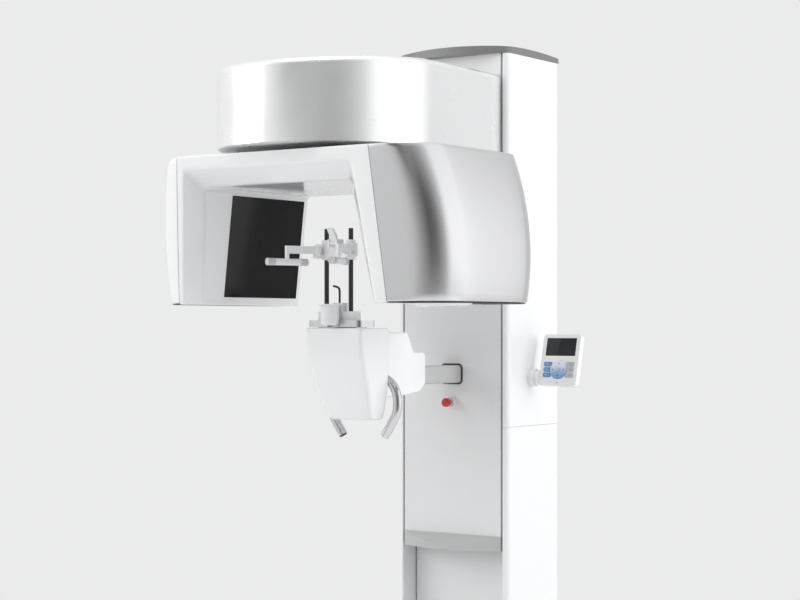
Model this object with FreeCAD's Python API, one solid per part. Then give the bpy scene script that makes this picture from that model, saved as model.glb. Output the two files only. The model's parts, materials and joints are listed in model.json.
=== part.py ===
import FreeCAD, Part
import math
import os

# Panoramic and cone-beam dental CT unit, in millimetres.
# +Z is up and the patient stands on the -Y side, facing the column.
# The origin is on the floor, at the centre of the four floor anchors, under the front panel's plane.

Vector = FreeCAD.Vector
X_AXIS = Vector(1, 0, 0)
Y_AXIS = Vector(0, 1, 0)
Z_AXIS = Vector(0, 0, 1)

# Fits and gaps
RUNNING = 0.05          # radial clearance of a shaft in its bore
FREE = 0.4              # gap between pieces that move past each other
SEAM = 0.6              # visible joint line between covers of one body

# Base and mast
BASE_HALF_WIDTH = 320
BASE_FRONT = -440
BASE_BACK = 270
BASE_THICKNESS = 16
ANCHOR_X = 290
ANCHOR_Y = 190
ANCHOR_RADIUS = 7
FOOT_TOP = 36
MAST_TOP = 1590
MAST_FRONT = 58
MAST_BACK = 190
MAST_HALF_WIDTH = 110
MAST_FACE_HALF_WIDTH = 148
MAST_WALL = 5

# Lift
ROD_RADIUS = 15
ACTUATOR_RADIUS = 30
ACTUATOR_Y = 126
ROD_BOTTOM = 1380
RAIL_X = 90
RAIL_WIDTH = 20
RAIL_FRONT = 24
RAIL_BACK = 34

# Moving column
COLUMN_HALF_WIDTH = 169
COLUMN_DEPTH = 252
COLUMN_BOTTOM = 580
COVER_SPLIT = 1200
COVER_WALL = 3.5
COVER_LIP_X = 152
COVER_LIP_DEPTH = 70
PANEL_HALF_WIDTH = 147
PANEL_BOTTOM = 924
PANEL_TOP = 2143
CAP_THICKNESS = 27
CAP_CROWN_RADIUS = 1700
CAP_CROWN_Y = 105
CAP_BULGE = 32
FRAME_FRONT = 12
BRACKET_BOTTOM = 2100

# Overhead arm and the rotation axis
AXIS_Y = -522
ARM_RADIUS = 260
ARM_ROOT_HALF_WIDTH = 148
ARM_BOTTOM = 1863
ARM_NOSE_TOP = 2047
ARM_ROOT_TOP = 2091
ARM_WALL = 4
HUB_RADIUS = 60
STAGE_BOTTOM = 1900
STAGE_TOP = 1915
STAGE_FORWARD = 30
STAGE_BACKWARD = 15

# Gantry: an inverted U that turns about the rotation axis
GANTRY_TOP = 1849
GANTRY_BOTTOM = 1505
GANTRY_WALL = 4
CEILING = 1779
PARTING_TOP = {-1: 282, 1: 268}
PARTING_BOTTOM = {-1: 306, 1: 293}
SENSOR_FACE_TOP = -244
SENSOR_FACE_BOTTOM = -275
SOURCE_FACE_TOP = 178
SOURCE_FACE_BOTTOM = 222
BEVEL_FRONT = -742
BEVEL_BACK = -690
BEVEL_SENSOR = 18
BEVEL_SOURCE = 40
BEVEL_CEILING = 40
WINDOW_FRONT = -578
WINDOW_BACK = -300
WINDOW_BOTTOM = 1524
WINDOW_TOP = 1766

# Support bar, chin rest and head support
BAR_HALF_WIDTH = 29
BAR_BOTTOM = 1310
BAR_TOP = 1355
BLOCK_HALF_WIDTH = 60
BLOCK_FRONT = -396
BLOCK_BACK = -206
TRAY_BOTTOM = 1452
TRAY_TOP = 1468
CUP_Y = -518
CUP_RADIUS = 22
HOLDER_TOP = 1489
ROD_X = 4
ROD_Y = -486
ROD_FOOT = 1478
ROD_SECTION = 2.6
HANDLE_Y = -384
HANDLE_RADIUS = 11
POST_X = 35.5
POST_Y = -484
POST_RADIUS = 5.5
POST_TOP = 1684
HEAD_BOTTOM = 1610
HEAD_TOP = 1657
TEMPLE_PIVOT_X = 44
TEMPLE_PIVOT_Y = -510
TEMPLE_PIN_RADIUS = 4
TEMPLE_END = (75, -585)
TEMPLE_BAR_LENGTH = 110
TEMPLE_PAD_LENGTH = 20
TEMPLE_BAR_ANGLE = 71
TEMPLE_BAR_Z = 1604
BLADE_PIVOT = (0, -504, 1650)

# Stop button
STOP_Z = 1260

# Console
CONSOLE_LEFT = 197
CONSOLE_RIGHT = 305
CONSOLE_BOTTOM = 1301
CONSOLE_HEIGHT = 134
CONSOLE_THICKNESS = 18
CONSOLE_PIVOT_Y = 114
CONSOLE_PIVOT_Z = 1323
CONSOLE_TILT = 14
RING_RADIUS = 24
RING_HEIGHT = 42


def box(x_min, x_max, y_min, y_max, z_min, z_max):
    """Block between two corners."""
    return Part.makeBox(x_max - x_min, y_max - y_min, z_max - z_min, Vector(x_min, y_min, z_min))


def cylinder(x, y, z, radius, length, axis=Z_AXIS):
    """Round bar that starts at a point and runs along an axis."""
    return Part.makeCylinder(radius, length, Vector(x, y, z), axis)


def fuse(solids):
    """One solid from several that touch or overlap."""
    first, *others = solids
    return first.multiFuse(others).removeSplitter() if others else first


def mirrored(shape):
    """The same shape on the other side of the X = 0 plane."""
    return shape.mirror(Vector(0, 0, 0), X_AXIS)


def rounded_wire(points, radii):
    """Closed wire through the points, with each corner rounded by its radius."""
    count = len(points)
    corners = []
    for index, corner in enumerate(points):
        before = (points[index - 1] - corner).normalize()
        after = (points[(index + 1) % count] - corner).normalize()
        radius = radii[index] if isinstance(radii, (list, tuple)) else radii
        if radius == 0:
            corners.append((corner, corner, corner))
            continue
        half = before.getAngle(after) / 2
        reach = radius / math.tan(half)
        centre = corner + (before + after).normalize() * (radius / math.sin(half))
        middle = centre + (corner - centre).normalize() * radius
        corners.append((corner + before * reach, middle, corner + after * reach))
    edges = []
    for index, (start, middle, end) in enumerate(corners):
        if (end - start).Length > 0.001:
            edges.append(Part.Arc(start, middle, end).toShape())
        following = corners[(index + 1) % count][0]
        if (following - end).Length > 0.001:
            edges.append(Part.LineSegment(end, following).toShape())
    return Part.Wire(edges)


def in_plan(pairs, z):
    """Points of a horizontal outline."""
    return [Vector(x, y, z) for x, y in pairs]


def in_side(pairs, x):
    """Points of an outline seen from the side, as (y, z) pairs."""
    return [Vector(x, y, z) for y, z in pairs]


def in_front(pairs, y):
    """Points of an outline seen from the front, as (x, z) pairs."""
    return [Vector(x, y, z) for x, z in pairs]


def prism(wire, travel):
    """Solid swept by a flat wire along a vector."""
    return Part.Face(wire).extrude(travel)


def plan_prism(pairs, radii, z_min, z_max):
    """Vertical prism on a rounded outline."""
    return prism(rounded_wire(in_plan(pairs, z_min), radii), Vector(0, 0, z_max - z_min))


def rectangle(x_min, x_max, y_min, y_max):
    """Corners of a rectangle, in order."""
    return [(x_min, y_min), (x_max, y_min), (x_max, y_max), (x_min, y_max)]


def rounded_block(x_min, x_max, y_min, y_max, z_min, z_max, radius):
    """Block with rounded vertical edges."""
    return plan_prism(rectangle(x_min, x_max, y_min, y_max), radius, z_min, z_max)


def round_edges(shape, radius, wanted):
    """The shape with the wanted edges rounded."""
    return shape.makeFillet(radius, [edge for edge in shape.Edges if wanted(edge)])


def tube_along(points, radius):
    """Round bar along straight runs joined by tangent arcs."""
    edges = []
    start = points[0]
    for index in range(1, len(points) - 1):
        corner = points[index]
        before = points[index - 1] - corner
        after = points[index + 1] - corner
        half = before.getAngle(after) / 2
        reach = 0.45 * min(before.Length, after.Length)
        bend = reach * math.tan(half)
        before.normalize()
        after.normalize()
        centre = corner + (before + after).normalize() * (bend / math.sin(half))
        middle = centre + (corner - centre).normalize() * bend
        edges.append(Part.LineSegment(start, corner + before * reach).toShape())
        edges.append(Part.Arc(corner + before * reach, middle, corner + after * reach).toShape())
        start = corner + after * reach
    edges.append(Part.LineSegment(start, points[-1]).toShape())
    path = Part.Wire(edges)
    profile = Part.Wire(Part.makeCircle(radius, points[0], points[1] - points[0]))
    return path.makePipeShell([profile], True, True)


# Base, mast and lift

def base_plate():
    """Steel floor plate with four anchor holes and a rounded front."""
    corners = rectangle(-BASE_HALF_WIDTH, BASE_HALF_WIDTH, BASE_FRONT, BASE_BACK)
    plate = plan_prism(corners, [150, 150, 40, 40], 0, BASE_THICKNESS)
    plate = plate.makeChamfer(5, [e for e in plate.Edges if e.BoundBox.ZMin > BASE_THICKNESS - 0.1])
    for x in (-ANCHOR_X, ANCHOR_X):
        for y in (-ANCHOR_Y, ANCHOR_Y):
            plate = plate.cut(cylinder(x, y, -1, ANCHOR_RADIUS, BASE_THICKNESS + 2))
    for x, y in mast_bolt_places():
        plate = plate.cut(cylinder(x, y, -1, 6, BASE_THICKNESS + 2))
    return plate


def mast_bolt_places():
    """Places of the bolts that hold the mast's foot down."""
    return [(x, y) for x in (-130, 130) for y in (75, 120, 165)]


def mast():
    """Welded mast: extruded box with a wide front face, on a foot plate."""
    face = MAST_FACE_HALF_WIDTH
    side = MAST_HALF_WIDTH
    inner_front = MAST_FRONT + 4
    outline = [(-face, MAST_FRONT), (face, MAST_FRONT), (face, inner_front), (side, inner_front),
               (side, MAST_BACK), (-side, MAST_BACK), (-side, inner_front), (-face, inner_front)]
    profile = plan_prism(outline, 0, FOOT_TOP, MAST_TOP)
    hollow = box(-side + MAST_WALL, side - MAST_WALL, inner_front + MAST_WALL, MAST_BACK - MAST_WALL,
                 FOOT_TOP - 1, MAST_TOP + 1)
    foot = rounded_block(-150, 150, MAST_FRONT, MAST_BACK + 4, BASE_THICKNESS, FOOT_TOP, 8)
    for x, y in mast_bolt_places():
        foot = foot.cut(cylinder(x, y, BASE_THICKNESS - 1, 6.2, FOOT_TOP))
    return fuse([profile.cut(hollow), foot])


def hexagon_head(x, y, z, across, height):
    """Hexagonal bolt head."""
    reach = across / math.sqrt(3)
    points = [(x + reach * math.cos(math.radians(60 * turn)), y + reach * math.sin(math.radians(60 * turn)))
              for turn in range(6)]
    return plan_prism(points, 0, z, z + height)


def mast_bolts():
    """Six hexagon bolts through the mast's foot into the base plate."""
    bolts = []
    for x, y in mast_bolt_places():
        shank = cylinder(x, y, 2, 5.9, FOOT_TOP)
        bolts.append(fuse([shank, hexagon_head(x, y, FOOT_TOP, 18, 8)]))
    return Part.makeCompound(bolts)


def guide_blocks():
    """Four grooved blocks on the mast, in which the moving column's rails run."""
    blocks = []
    for side in (-1, 1):
        for bottom in (1190, 1470):
            middle = side * RAIL_X
            block = box(middle - 20, middle + 20, RAIL_FRONT + 3, MAST_FRONT, bottom, bottom + 90)
            groove = RAIL_WIDTH / 2 + FREE
            block = block.cut(box(middle - groove, middle + groove, RAIL_FRONT, RAIL_BACK + FREE,
                                  bottom - 1, bottom + 91))
            blocks.append(block)
    return Part.makeCompound(blocks)


def lift_actuator():
    """Lift drive inside the mast: motor and gear housing below, guide tube above."""
    housing = rounded_block(-45, 45, ACTUATOR_Y - 45, ACTUATOR_Y + 45, FOOT_TOP, 300, 12)
    tube = cylinder(0, ACTUATOR_Y, 290, ACTUATOR_RADIUS, MAST_TOP - 292)
    bore = cylinder(0, ACTUATOR_Y, 860, ROD_RADIUS + RUNNING, MAST_TOP - 860)
    return fuse([housing, tube]).cut(bore)


def actuator_rod():
    """Lift rod that carries the moving column."""
    return cylinder(0, ACTUATOR_Y, ROD_BOTTOM, ROD_RADIUS, BRACKET_BOTTOM - ROD_BOTTOM)


def mains_inlet():
    """Mains inlet at the back of the base, with its socket recess."""
    housing = rounded_block(-36, 36, 204, 262, BASE_THICKNESS, 58, 6)
    socket = box(-13.5, 13.5, 242, 263, 28, 46)
    pins = [box(x - 1, x + 1, 241, 256, 34, 40) for x in (-7, 0, 7)]
    return fuse([housing.cut(socket)] + pins)


# Moving column

def side_cover(side, z_min, z_max):
    """Wrap-round side cover, with a folded lip beside the front panel."""
    outer = COLUMN_HALF_WIDTH
    inner = outer - COVER_WALL
    lip = COVER_LIP_X + COVER_WALL
    back = COLUMN_DEPTH
    outline = [(COVER_LIP_X, 0), (outer, 0), (outer, back), (140, back), (140, back - COVER_WALL),
               (inner, back - COVER_WALL), (inner, COVER_WALL), (lip, COVER_WALL),
               (lip, COVER_LIP_DEPTH), (COVER_LIP_X, COVER_LIP_DEPTH)]
    cover = plan_prism(outline, [1.5, 14, 10, 0, 0, 6.5, 8, 0, 0, 0], z_min, z_max)
    return cover if side > 0 else mirrored(cover)


def rear_cover():
    """Flat cover over the back of the moving column."""
    return box(-139.5, 139.5, COLUMN_DEPTH - COVER_WALL, COLUMN_DEPTH, COLUMN_BOTTOM, PANEL_TOP - SEAM)


def front_panel():
    """Front panel with folded edges, a port for the support bar and a window for the arm's frame."""
    edge = PANEL_HALF_WIDTH
    outline = [(-edge, 0), (edge, 0), (edge, FRAME_FRONT), (edge - 3, FRAME_FRONT), (edge - 3, 3),
               (3 - edge, 3), (3 - edge, FRAME_FRONT), (-edge, FRAME_FRONT)]
    panel = plan_prism(outline, [1.2, 1.2, 0, 0, 0, 0, 0, 0], PANEL_BOTTOM, PANEL_TOP)
    port = rounded_port(-1, 5, 0)
    window = box(-135, 135, -1, 4, 1874, 1960)
    stop_hole = cylinder(0, -1, STOP_Z, 12, 5, Y_AXIS)
    return panel.cut(port).cut(window).cut(stop_hole)


def rounded_port(y_min, y_max, inset):
    """Rounded opening round the support bar."""
    reach = BAR_HALF_WIDTH + 4 - inset
    corners = [(-reach, BAR_BOTTOM - 4 + inset), (reach, BAR_BOTTOM - 4 + inset),
               (reach, BAR_TOP + 4 - inset), (-reach, BAR_TOP + 4 - inset)]
    return prism(rounded_wire(in_front(corners, y_min), 12 - inset), Vector(0, y_max - y_min, 0))


def bar_section(y_min, y_max):
    """Stretch of the support bar's rounded section."""
    corners = [(-BAR_HALF_WIDTH, BAR_BOTTOM), (BAR_HALF_WIDTH, BAR_BOTTOM),
               (BAR_HALF_WIDTH, BAR_TOP), (-BAR_HALF_WIDTH, BAR_TOP)]
    return prism(rounded_wire(in_front(corners, y_min), 8), Vector(0, y_max - y_min, 0))


def port_collar():
    """Rubber collar between the support bar and the panel's port."""
    return rounded_port(-2, 3, 0).cut(bar_section(-3, 4))


def column_plan(bulge, back, z):
    """Outline with a bowed front edge, between the column's sides."""
    half = COLUMN_HALF_WIDTH
    front = Part.Arc(Vector(-half + 20, -6, z), Vector(0, -bulge, z), Vector(half - 20, -6, z))
    left = Part.Arc(Vector(-half, 26, z), Vector(-half + 6, 4, z), Vector(-half + 20, -6, z))
    right = Part.Arc(Vector(half - 20, -6, z), Vector(half - 6, 4, z), Vector(half, 26, z))
    lines = [Part.LineSegment(Vector(half, 26, z), Vector(half, back, z)),
             Part.LineSegment(Vector(half, back, z), Vector(-half, back, z)),
             Part.LineSegment(Vector(-half, back, z), Vector(-half, 26, z))]
    return Part.Wire([curve.toShape() for curve in [front, right] + lines + [left]])


def top_cap():
    """Cap over the column, bowed out over the front panel and crowned on top."""
    cap = prism(column_plan(CAP_BULGE, COLUMN_DEPTH, PANEL_TOP), Vector(0, 0, CAP_THICKNESS + 5))
    centre = Vector(0, CAP_CROWN_Y, PANEL_TOP + CAP_THICKNESS - CAP_CROWN_RADIUS)
    return cap.common(Part.makeSphere(CAP_CROWN_RADIUS, centre, Z_AXIS, 45, 90))


def bottom_tray():
    """Bowed ledge under the front panel, sloping down to its front edge."""
    half = PANEL_HALF_WIDTH
    low = PANEL_BOTTOM - 38
    bow = Part.Arc(Vector(-half, 0, low), Vector(0, -36, low), Vector(half, 0, low)).toShape()
    back = [Vector(half, 0, low), Vector(half, 24, low), Vector(-half, 24, low), Vector(-half, 0, low)]
    sides = [Part.LineSegment(start, end).toShape() for start, end in zip(back, back[1:])]
    ledge = prism(Part.Wire([bow] + sides), Vector(0, 0, 38))
    slope = in_side([(-60, PANEL_BOTTOM - 38), (0, PANEL_BOTTOM), (0, PANEL_BOTTOM + 20),
                     (-60, PANEL_BOTTOM + 20)], -half - 1)
    return ledge.cut(prism(rounded_wire(slope, 0), Vector(2 * half + 2, 0, 0)))


def column_frame():
    """Carrier plate of the moving column, with its cover tabs and the lift bracket."""
    plate = box(-135, 135, FRAME_FRONT, RAIL_FRONT, PANEL_BOTTOM + 6, BRACKET_BOTTOM + 12)
    bracket = box(-135, 135, RAIL_FRONT - 1, COLUMN_DEPTH - COVER_WALL, BRACKET_BOTTOM, BRACKET_BOTTOM + 12)
    tabs = []
    for z in (1000, 1500, 2060):
        tabs.append(box(-COVER_LIP_X, COVER_LIP_X, FRAME_FRONT, FRAME_FRONT + 6, z, z + 30))
    webs = []
    for x in (-125, 117):
        side = in_side([(RAIL_FRONT - 1, BRACKET_BOTTOM + 1), (200, BRACKET_BOTTOM + 1),
                        (200, BRACKET_BOTTOM + 30), (RAIL_FRONT - 1, BRACKET_BOTTOM + 40)], x)
        webs.append(prism(rounded_wire(side, 0), Vector(8, 0, 0)))
    top = box(-135, 135, FRAME_FRONT, RAIL_FRONT, BRACKET_BOTTOM, BRACKET_BOTTOM + 40)
    return fuse([plate, top, bracket] + tabs + webs)


def guide_rails():
    """Two rails on the back of the carrier plate."""
    rails = []
    for side in (-1, 1):
        middle = side * RAIL_X
        rails.append(box(middle - RAIL_WIDTH / 2, middle + RAIL_WIDTH / 2, RAIL_FRONT, RAIL_BACK,
                         PANEL_BOTTOM + 36, BRACKET_BOTTOM - 5))
    return Part.makeCompound(rails)


def stop_collar():
    """Collar of the emergency stop button."""
    collar = cylinder(0, -10, STOP_Z, 13.5, 10, Y_AXIS)
    neck = cylinder(0, -1, STOP_Z, 11.5, 12, Y_AXIS)
    bore = cylinder(0, -11, STOP_Z, 6 + RUNNING, 24, Y_AXIS)
    return fuse([collar, neck]).cut(bore)


def stop_button():
    """Mushroom button of the emergency stop."""
    head = cylinder(0, -35, STOP_Z, 11.5, 16, Y_AXIS)
    head = round_edges(head, 4, lambda edge: edge.BoundBox.YMax < -34.9)
    return fuse([head, cylinder(0, -20, STOP_Z, 6, 22, Y_AXIS)])


# Overhead arm

def arm_outline(inset, z):
    """Plan of the arm: a round end about the rotation axis, tapering to the column."""
    radius = ARM_RADIUS - inset
    half = ARM_ROOT_HALF_WIDTH - inset
    distance = math.hypot(half, AXIS_Y)
    angle = math.atan2(-AXIS_Y, half) - math.acos(radius / distance)
    touch_x = radius * math.cos(angle)
    touch_y = AXIS_Y + radius * math.sin(angle)
    end = Part.Arc(Vector(-touch_x, touch_y, z), Vector(0, AXIS_Y - radius, z), Vector(touch_x, touch_y, z))
    lines = [Part.LineSegment(Vector(touch_x, touch_y, z), Vector(half, 0, z)),
             Part.LineSegment(Vector(half, 0, z), Vector(-half, 0, z)),
             Part.LineSegment(Vector(-half, 0, z), Vector(-touch_x, touch_y, z))]
    return Part.Wire([end.toShape()] + [line.toShape() for line in lines])


def arm_body(inset, bottom):
    """Solid of the arm, with its top rising towards the column."""
    body = prism(arm_outline(inset, bottom), Vector(0, 0, ARM_ROOT_TOP + 20 - bottom))
    nose = AXIS_Y - ARM_RADIUS
    above = in_side([(nose, ARM_NOSE_TOP - inset), (-nose, 2 * ARM_ROOT_TOP - ARM_NOSE_TOP - inset),
                     (-nose, 2300), (nose, 2300)], -300)
    return body.cut(prism(rounded_wire(above, 0), Vector(600, 0, 0)))


def arm_shell():
    """White cover of the arm: top and walls in one moulding."""
    outer = arm_body(0, ARM_BOTTOM)
    outer = round_edges(outer, 14, lambda e: e.BoundBox.ZMin > ARM_NOSE_TOP - 1 and e.BoundBox.YLength > 1)
    return outer.cut(arm_body(ARM_WALL, ARM_BOTTOM - 1))


def arm_floor():
    """Cover under the arm, with a slot for the hub."""
    plate = prism(arm_outline(ARM_WALL + 0.2, ARM_BOTTOM), Vector(0, 0, 3))
    reach = HUB_RADIUS + 8
    slot = rounded_block(-reach, reach, AXIS_Y - STAGE_FORWARD - reach, AXIS_Y + STAGE_BACKWARD + reach,
                         ARM_BOTTOM - 1, ARM_BOTTOM + 4, reach - 1)
    return plate.cut(slot)


def arm_frame():
    """Two ledged beams that carry the rotation stage, joined at their front ends."""
    parts = []
    for side in (-1, 1):
        beam = box(108, 128, -730, FRAME_FRONT, 1880, 1950)
        ledge = box(95, 109, -730, FRAME_FRONT, 1880, STAGE_BOTTOM - FREE)
        rail = fuse([beam, ledge])
        parts.append(rail if side > 0 else mirrored(rail))
    parts.append(box(-109, 109, -730, -716, 1880, STAGE_BOTTOM - FREE))
    parts.append(box(-109, 109, -100, -80, 1880, STAGE_BOTTOM - FREE))
    return fuse(parts)


def rotation_stage():
    """Plate that slides on the arm's frame and holds the gantry's bearing."""
    plate = box(-108 + FREE, 108 - FREE, AXIS_Y - 176, AXIS_Y + 130, STAGE_BOTTOM, STAGE_TOP)
    boss = cylinder(0, AXIS_Y, STAGE_BOTTOM - 16, 82, 20)
    bore = cylinder(0, AXIS_Y, STAGE_BOTTOM - 20, HUB_RADIUS + RUNNING, 60)
    return fuse([plate, boss]).cut(bore)


def rotation_motor():
    """Geared motor that turns the hub, upright on the stage."""
    foot = cylinder(0, AXIS_Y - 138, STAGE_TOP, 35, 12)
    body = cylinder(0, AXIS_Y - 138, STAGE_TOP + 10, 30, 80)
    return fuse([foot, body])


# Gantry

def gantry_width(z):
    """Half widths of the gantry at a height: the sensor side's and the source side's."""
    rise = (z - GANTRY_BOTTOM) / (GANTRY_TOP - GANTRY_BOTTOM)
    bow = 1 - ((rise - 0.32) / 0.68) ** 2
    return 363 + 28 * bow, 404 + 46 * bow


def gantry_plan(z, inset):
    """Horizontal outline of the gantry at a height."""
    rise = (z - GANTRY_BOTTOM) / (GANTRY_TOP - GANTRY_BOTTOM)
    sensor, source = gantry_width(z)
    front = -702 - 36 * rise
    corners = rectangle(-sensor + inset, source - inset, front + inset, -285 - inset)
    return rounded_wire(in_plan(corners, z), 95 - inset)


def gantry_envelope(inset):
    """Outer form of the gantry, with a rounded top edge, or a smaller form inside it."""
    rounding = 10
    top = GANTRY_TOP - rounding
    low = GANTRY_BOTTOM + inset
    wires = [gantry_plan(low + step * (top - low) / 6, inset) for step in range(7)]
    for angle in (30, 60, 90):
        turn = math.radians(angle)
        height = top + (rounding - inset) * math.sin(turn)
        wires.append(gantry_plan(height, inset + (rounding - inset) * (1 - math.cos(turn))))
    return Part.makeLoft(wires, True, True)


def opening_corners(grow_sensor, grow_source, grow_up, y, bottom):
    """Corners of the U's opening, seen from the front."""
    slope_sensor = (SENSOR_FACE_BOTTOM - SENSOR_FACE_TOP) / (CEILING - GANTRY_BOTTOM)
    slope_source = (SOURCE_FACE_BOTTOM - SOURCE_FACE_TOP) / (CEILING - GANTRY_BOTTOM)
    drop = CEILING - bottom
    pairs = [(SENSOR_FACE_TOP - grow_sensor + slope_sensor * drop, bottom),
             (SOURCE_FACE_TOP + grow_source + slope_source * drop, bottom),
             (SOURCE_FACE_TOP + grow_source - slope_source * grow_up, CEILING + grow_up),
             (SENSOR_FACE_TOP - grow_sensor - slope_sensor * grow_up, CEILING + grow_up)]
    return in_front(pairs, y)


def opening(wall):
    """The space inside the U, with its front bevel, grown by a wall."""
    bottom = GANTRY_BOTTOM - 30
    through = prism(rounded_wire(opening_corners(wall, wall, wall, -760, bottom), 0), Vector(0, 500, 0))
    small = rounded_wire(opening_corners(wall, wall, wall, BEVEL_BACK + wall, bottom), 0)
    large = rounded_wire(opening_corners(BEVEL_SENSOR + wall, BEVEL_SOURCE + wall, BEVEL_CEILING + wall,
                                         BEVEL_FRONT + wall, bottom), 0)
    bevel = Part.makeLoft([small, large], True, True)
    return through.fuse(bevel)


def parting_side(side, shift):
    """Everything beyond the sloping parting plane on one side."""
    low = PARTING_BOTTOM[side] + shift
    high = PARTING_TOP[side] + shift
    corners = [(low, GANTRY_BOTTOM - 1), (600, GANTRY_BOTTOM - 1), (600, GANTRY_TOP + 1), (high, GANTRY_TOP + 1)]
    region = prism(rounded_wire(in_front(corners, -800), 0), Vector(0, 600, 0))
    return region if side > 0 else mirrored(region)


def gantry_wall():
    """The gantry's closed hollow skin, before it is divided into covers."""
    skin = gantry_envelope(0).cut(opening(0))
    cavity = gantry_envelope(GANTRY_WALL).cut(opening(GANTRY_WALL))
    return skin.cut(cavity)


def gantry_shell(wall):
    """White inner body of the gantry: beam and both inner faces in one moulding."""
    shell = wall.cut(parting_side(1, -SEAM / 2)).cut(parting_side(-1, -SEAM / 2))
    shell = shell.cut(cylinder(0, AXIS_Y, GANTRY_TOP - 20, HUB_RADIUS + 0.5, 40))
    return shell.cut(sensor_window_solid(0.3))


def sensor_window_solid(gap):
    """Plate that leans with the sensor's inner face, just proud of it."""
    slope = (SENSOR_FACE_BOTTOM - SENSOR_FACE_TOP) / (CEILING - GANTRY_BOTTOM)
    low = WINDOW_BOTTOM - gap
    high = WINDOW_TOP + gap
    face_low = SENSOR_FACE_TOP + slope * (CEILING - low) + 0.6
    face_high = SENSOR_FACE_TOP + slope * (CEILING - high) + 0.6
    corners = [(face_low - 4, low), (face_low, low), (face_high, high), (face_high - 4, high)]
    length = WINDOW_BACK - WINDOW_FRONT + 2 * gap
    return prism(rounded_wire(in_front(corners, WINDOW_FRONT - gap), 0), Vector(0, length, 0))


def gantry_frame():
    """Cast frame inside the gantry, with hangers for the detector and the tube."""
    beam = box(-330, 400, AXIS_Y - 60, AXIS_Y + 60, 1800, 1812)
    sensor_hanger = box(-340, -328, AXIS_Y - 60, AXIS_Y + 60, 1530, 1812)
    source_hanger = box(392, 402, AXIS_Y - 60, AXIS_Y + 60, 1560, 1812)
    return fuse([beam, sensor_hanger, source_hanger])


def rotation_hub():
    """Hollow hub that hangs the gantry from the rotation stage."""
    shaft = cylinder(0, AXIS_Y, 1812, HUB_RADIUS, STAGE_TOP + 20 - 1812)
    flange = cylinder(0, AXIS_Y, STAGE_TOP + FREE, 98, 14)
    bore = cylinder(0, AXIS_Y, 1811, 34, 200)
    return fuse([shaft, flange]).cut(bore)


def detector_module():
    """Flat-panel detector behind the sensor window."""
    return rounded_block(-328, -290, WINDOW_FRONT + 6, WINDOW_BACK - 20, 1530, 1762, 6)


def tube_housing():
    """Shielded X-ray tube head in the source side."""
    tank = rounded_block(290, 392, AXIS_Y - 105, AXIS_Y + 105, 1560, 1780, 24)
    return round_edges(tank, 8, lambda edge: edge.BoundBox.ZMin > 1779)


def collimator():
    """Slotted collimator between the tube head and the source's inner face."""
    block = box(240, 290, AXIS_Y - 45, AXIS_Y + 45, 1610, 1710)
    return block.cut(box(239, 291, AXIS_Y - 8, AXIS_Y + 8, 1630, 1690))


# Chin rest

def support_bar():
    """Bar that carries the chin rest out from the column."""
    return bar_section(BLOCK_FRONT + 8, FRAME_FRONT).cut(bar_hollow())


def bar_hollow():
    """Space inside the support bar."""
    return box(-BAR_HALF_WIDTH + 5, BAR_HALF_WIDTH - 5, BLOCK_FRONT, FRAME_FRONT + 1,
               BAR_BOTTOM + 5, BAR_TOP - 5)


def block_form(inset):
    """Form of the chin rest's rear block, with a sloping back above and below."""
    profile = [(BLOCK_FRONT + inset, 1284 + inset), (-300, 1286 + inset), (BLOCK_BACK - 26, 1294 + inset),
               (BLOCK_BACK - inset, 1312), (BLOCK_BACK - inset, 1391 - inset), (-256, 1391 - inset),
               (-284, 1440 - inset), (BLOCK_FRONT + inset, 1440 - inset)]
    half = BLOCK_HALF_WIDTH - inset
    side = rounded_wire(in_side(profile, -half), [0, 8, 14, 14, 12, 4, 10, 0])
    return prism(side, Vector(2 * half, 0, 0))


def chin_rest_block():
    """White rear block of the chin rest, closed round the support bar."""
    outer = block_form(0)
    outer = round_edges(outer, 6, lambda e: abs(abs(e.CenterOfMass.x) - BLOCK_HALF_WIDTH) < 0.1
                        and e.CenterOfMass.y > BLOCK_FRONT + 1)
    return outer.cut(block_form(5)).cut(bar_section(BLOCK_FRONT + 8, 0))


def body_levels():
    """Heights, half widths and front faces of the chin rest's shield, from the top down."""
    return [(1450, 82, -511), (1391, 82, -506), (1347, 81, -494), (1300, 78, -475),
            (1258, 71, -456), (1232, 64, -443)]


def shield_form(inset):
    """Tapering form of the shield."""
    wires = []
    for z, half, front in body_levels():
        height = min(max(z, 1232 + inset), 1450 - inset)
        corners = rectangle(-half + inset, half - inset, front + inset, BLOCK_FRONT - inset)
        radii = [14 - inset, 14 - inset, 5 - inset / 2, 5 - inset / 2]
        wires.append(rounded_wire(in_plan(corners, height), radii))
    return Part.makeLoft(wires, True, True)


def chin_rest_body():
    """White shield in front of the block, hollow behind its face."""
    return shield_form(0).cut(shield_form(4))


def handle(side):
    """Bent steel grab handle at one side of the chin rest, with an open end."""
    route = [(64, 1330), (84, 1316), (97, 1290), (97, 1252), (80, 1220), (61, 1192)]
    points = [Vector(x, HANDLE_Y, z) for x, z in route]
    bar = tube_along(points, HANDLE_RADIUS)
    tip = (points[-2] - points[-1]).normalize()
    hollow = Part.makeCylinder(HANDLE_RADIUS - 1.5, 24, points[-1] - tip * 4, tip)
    bar = bar.cut(hollow).cut(block_form(0))
    return bar if side > 0 else mirrored(bar)


def handles():
    """The pair of grab handles."""
    return Part.makeCompound([handle(-1), handle(1)])


def chin_tray():
    """Steel tray on top of the chin rest, notched for the chin cup."""
    tray = rounded_block(-79, 79, -506, -440, TRAY_BOTTOM, TRAY_TOP, 15)
    spacer = rounded_block(-58, 58, -495, -446, 1450, TRAY_BOTTOM + 1, 8)
    notch = cylinder(0, CUP_Y, TRAY_BOTTOM - 5, CUP_RADIUS + 0.4, 40)
    return fuse([tray, spacer]).cut(notch)


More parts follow.
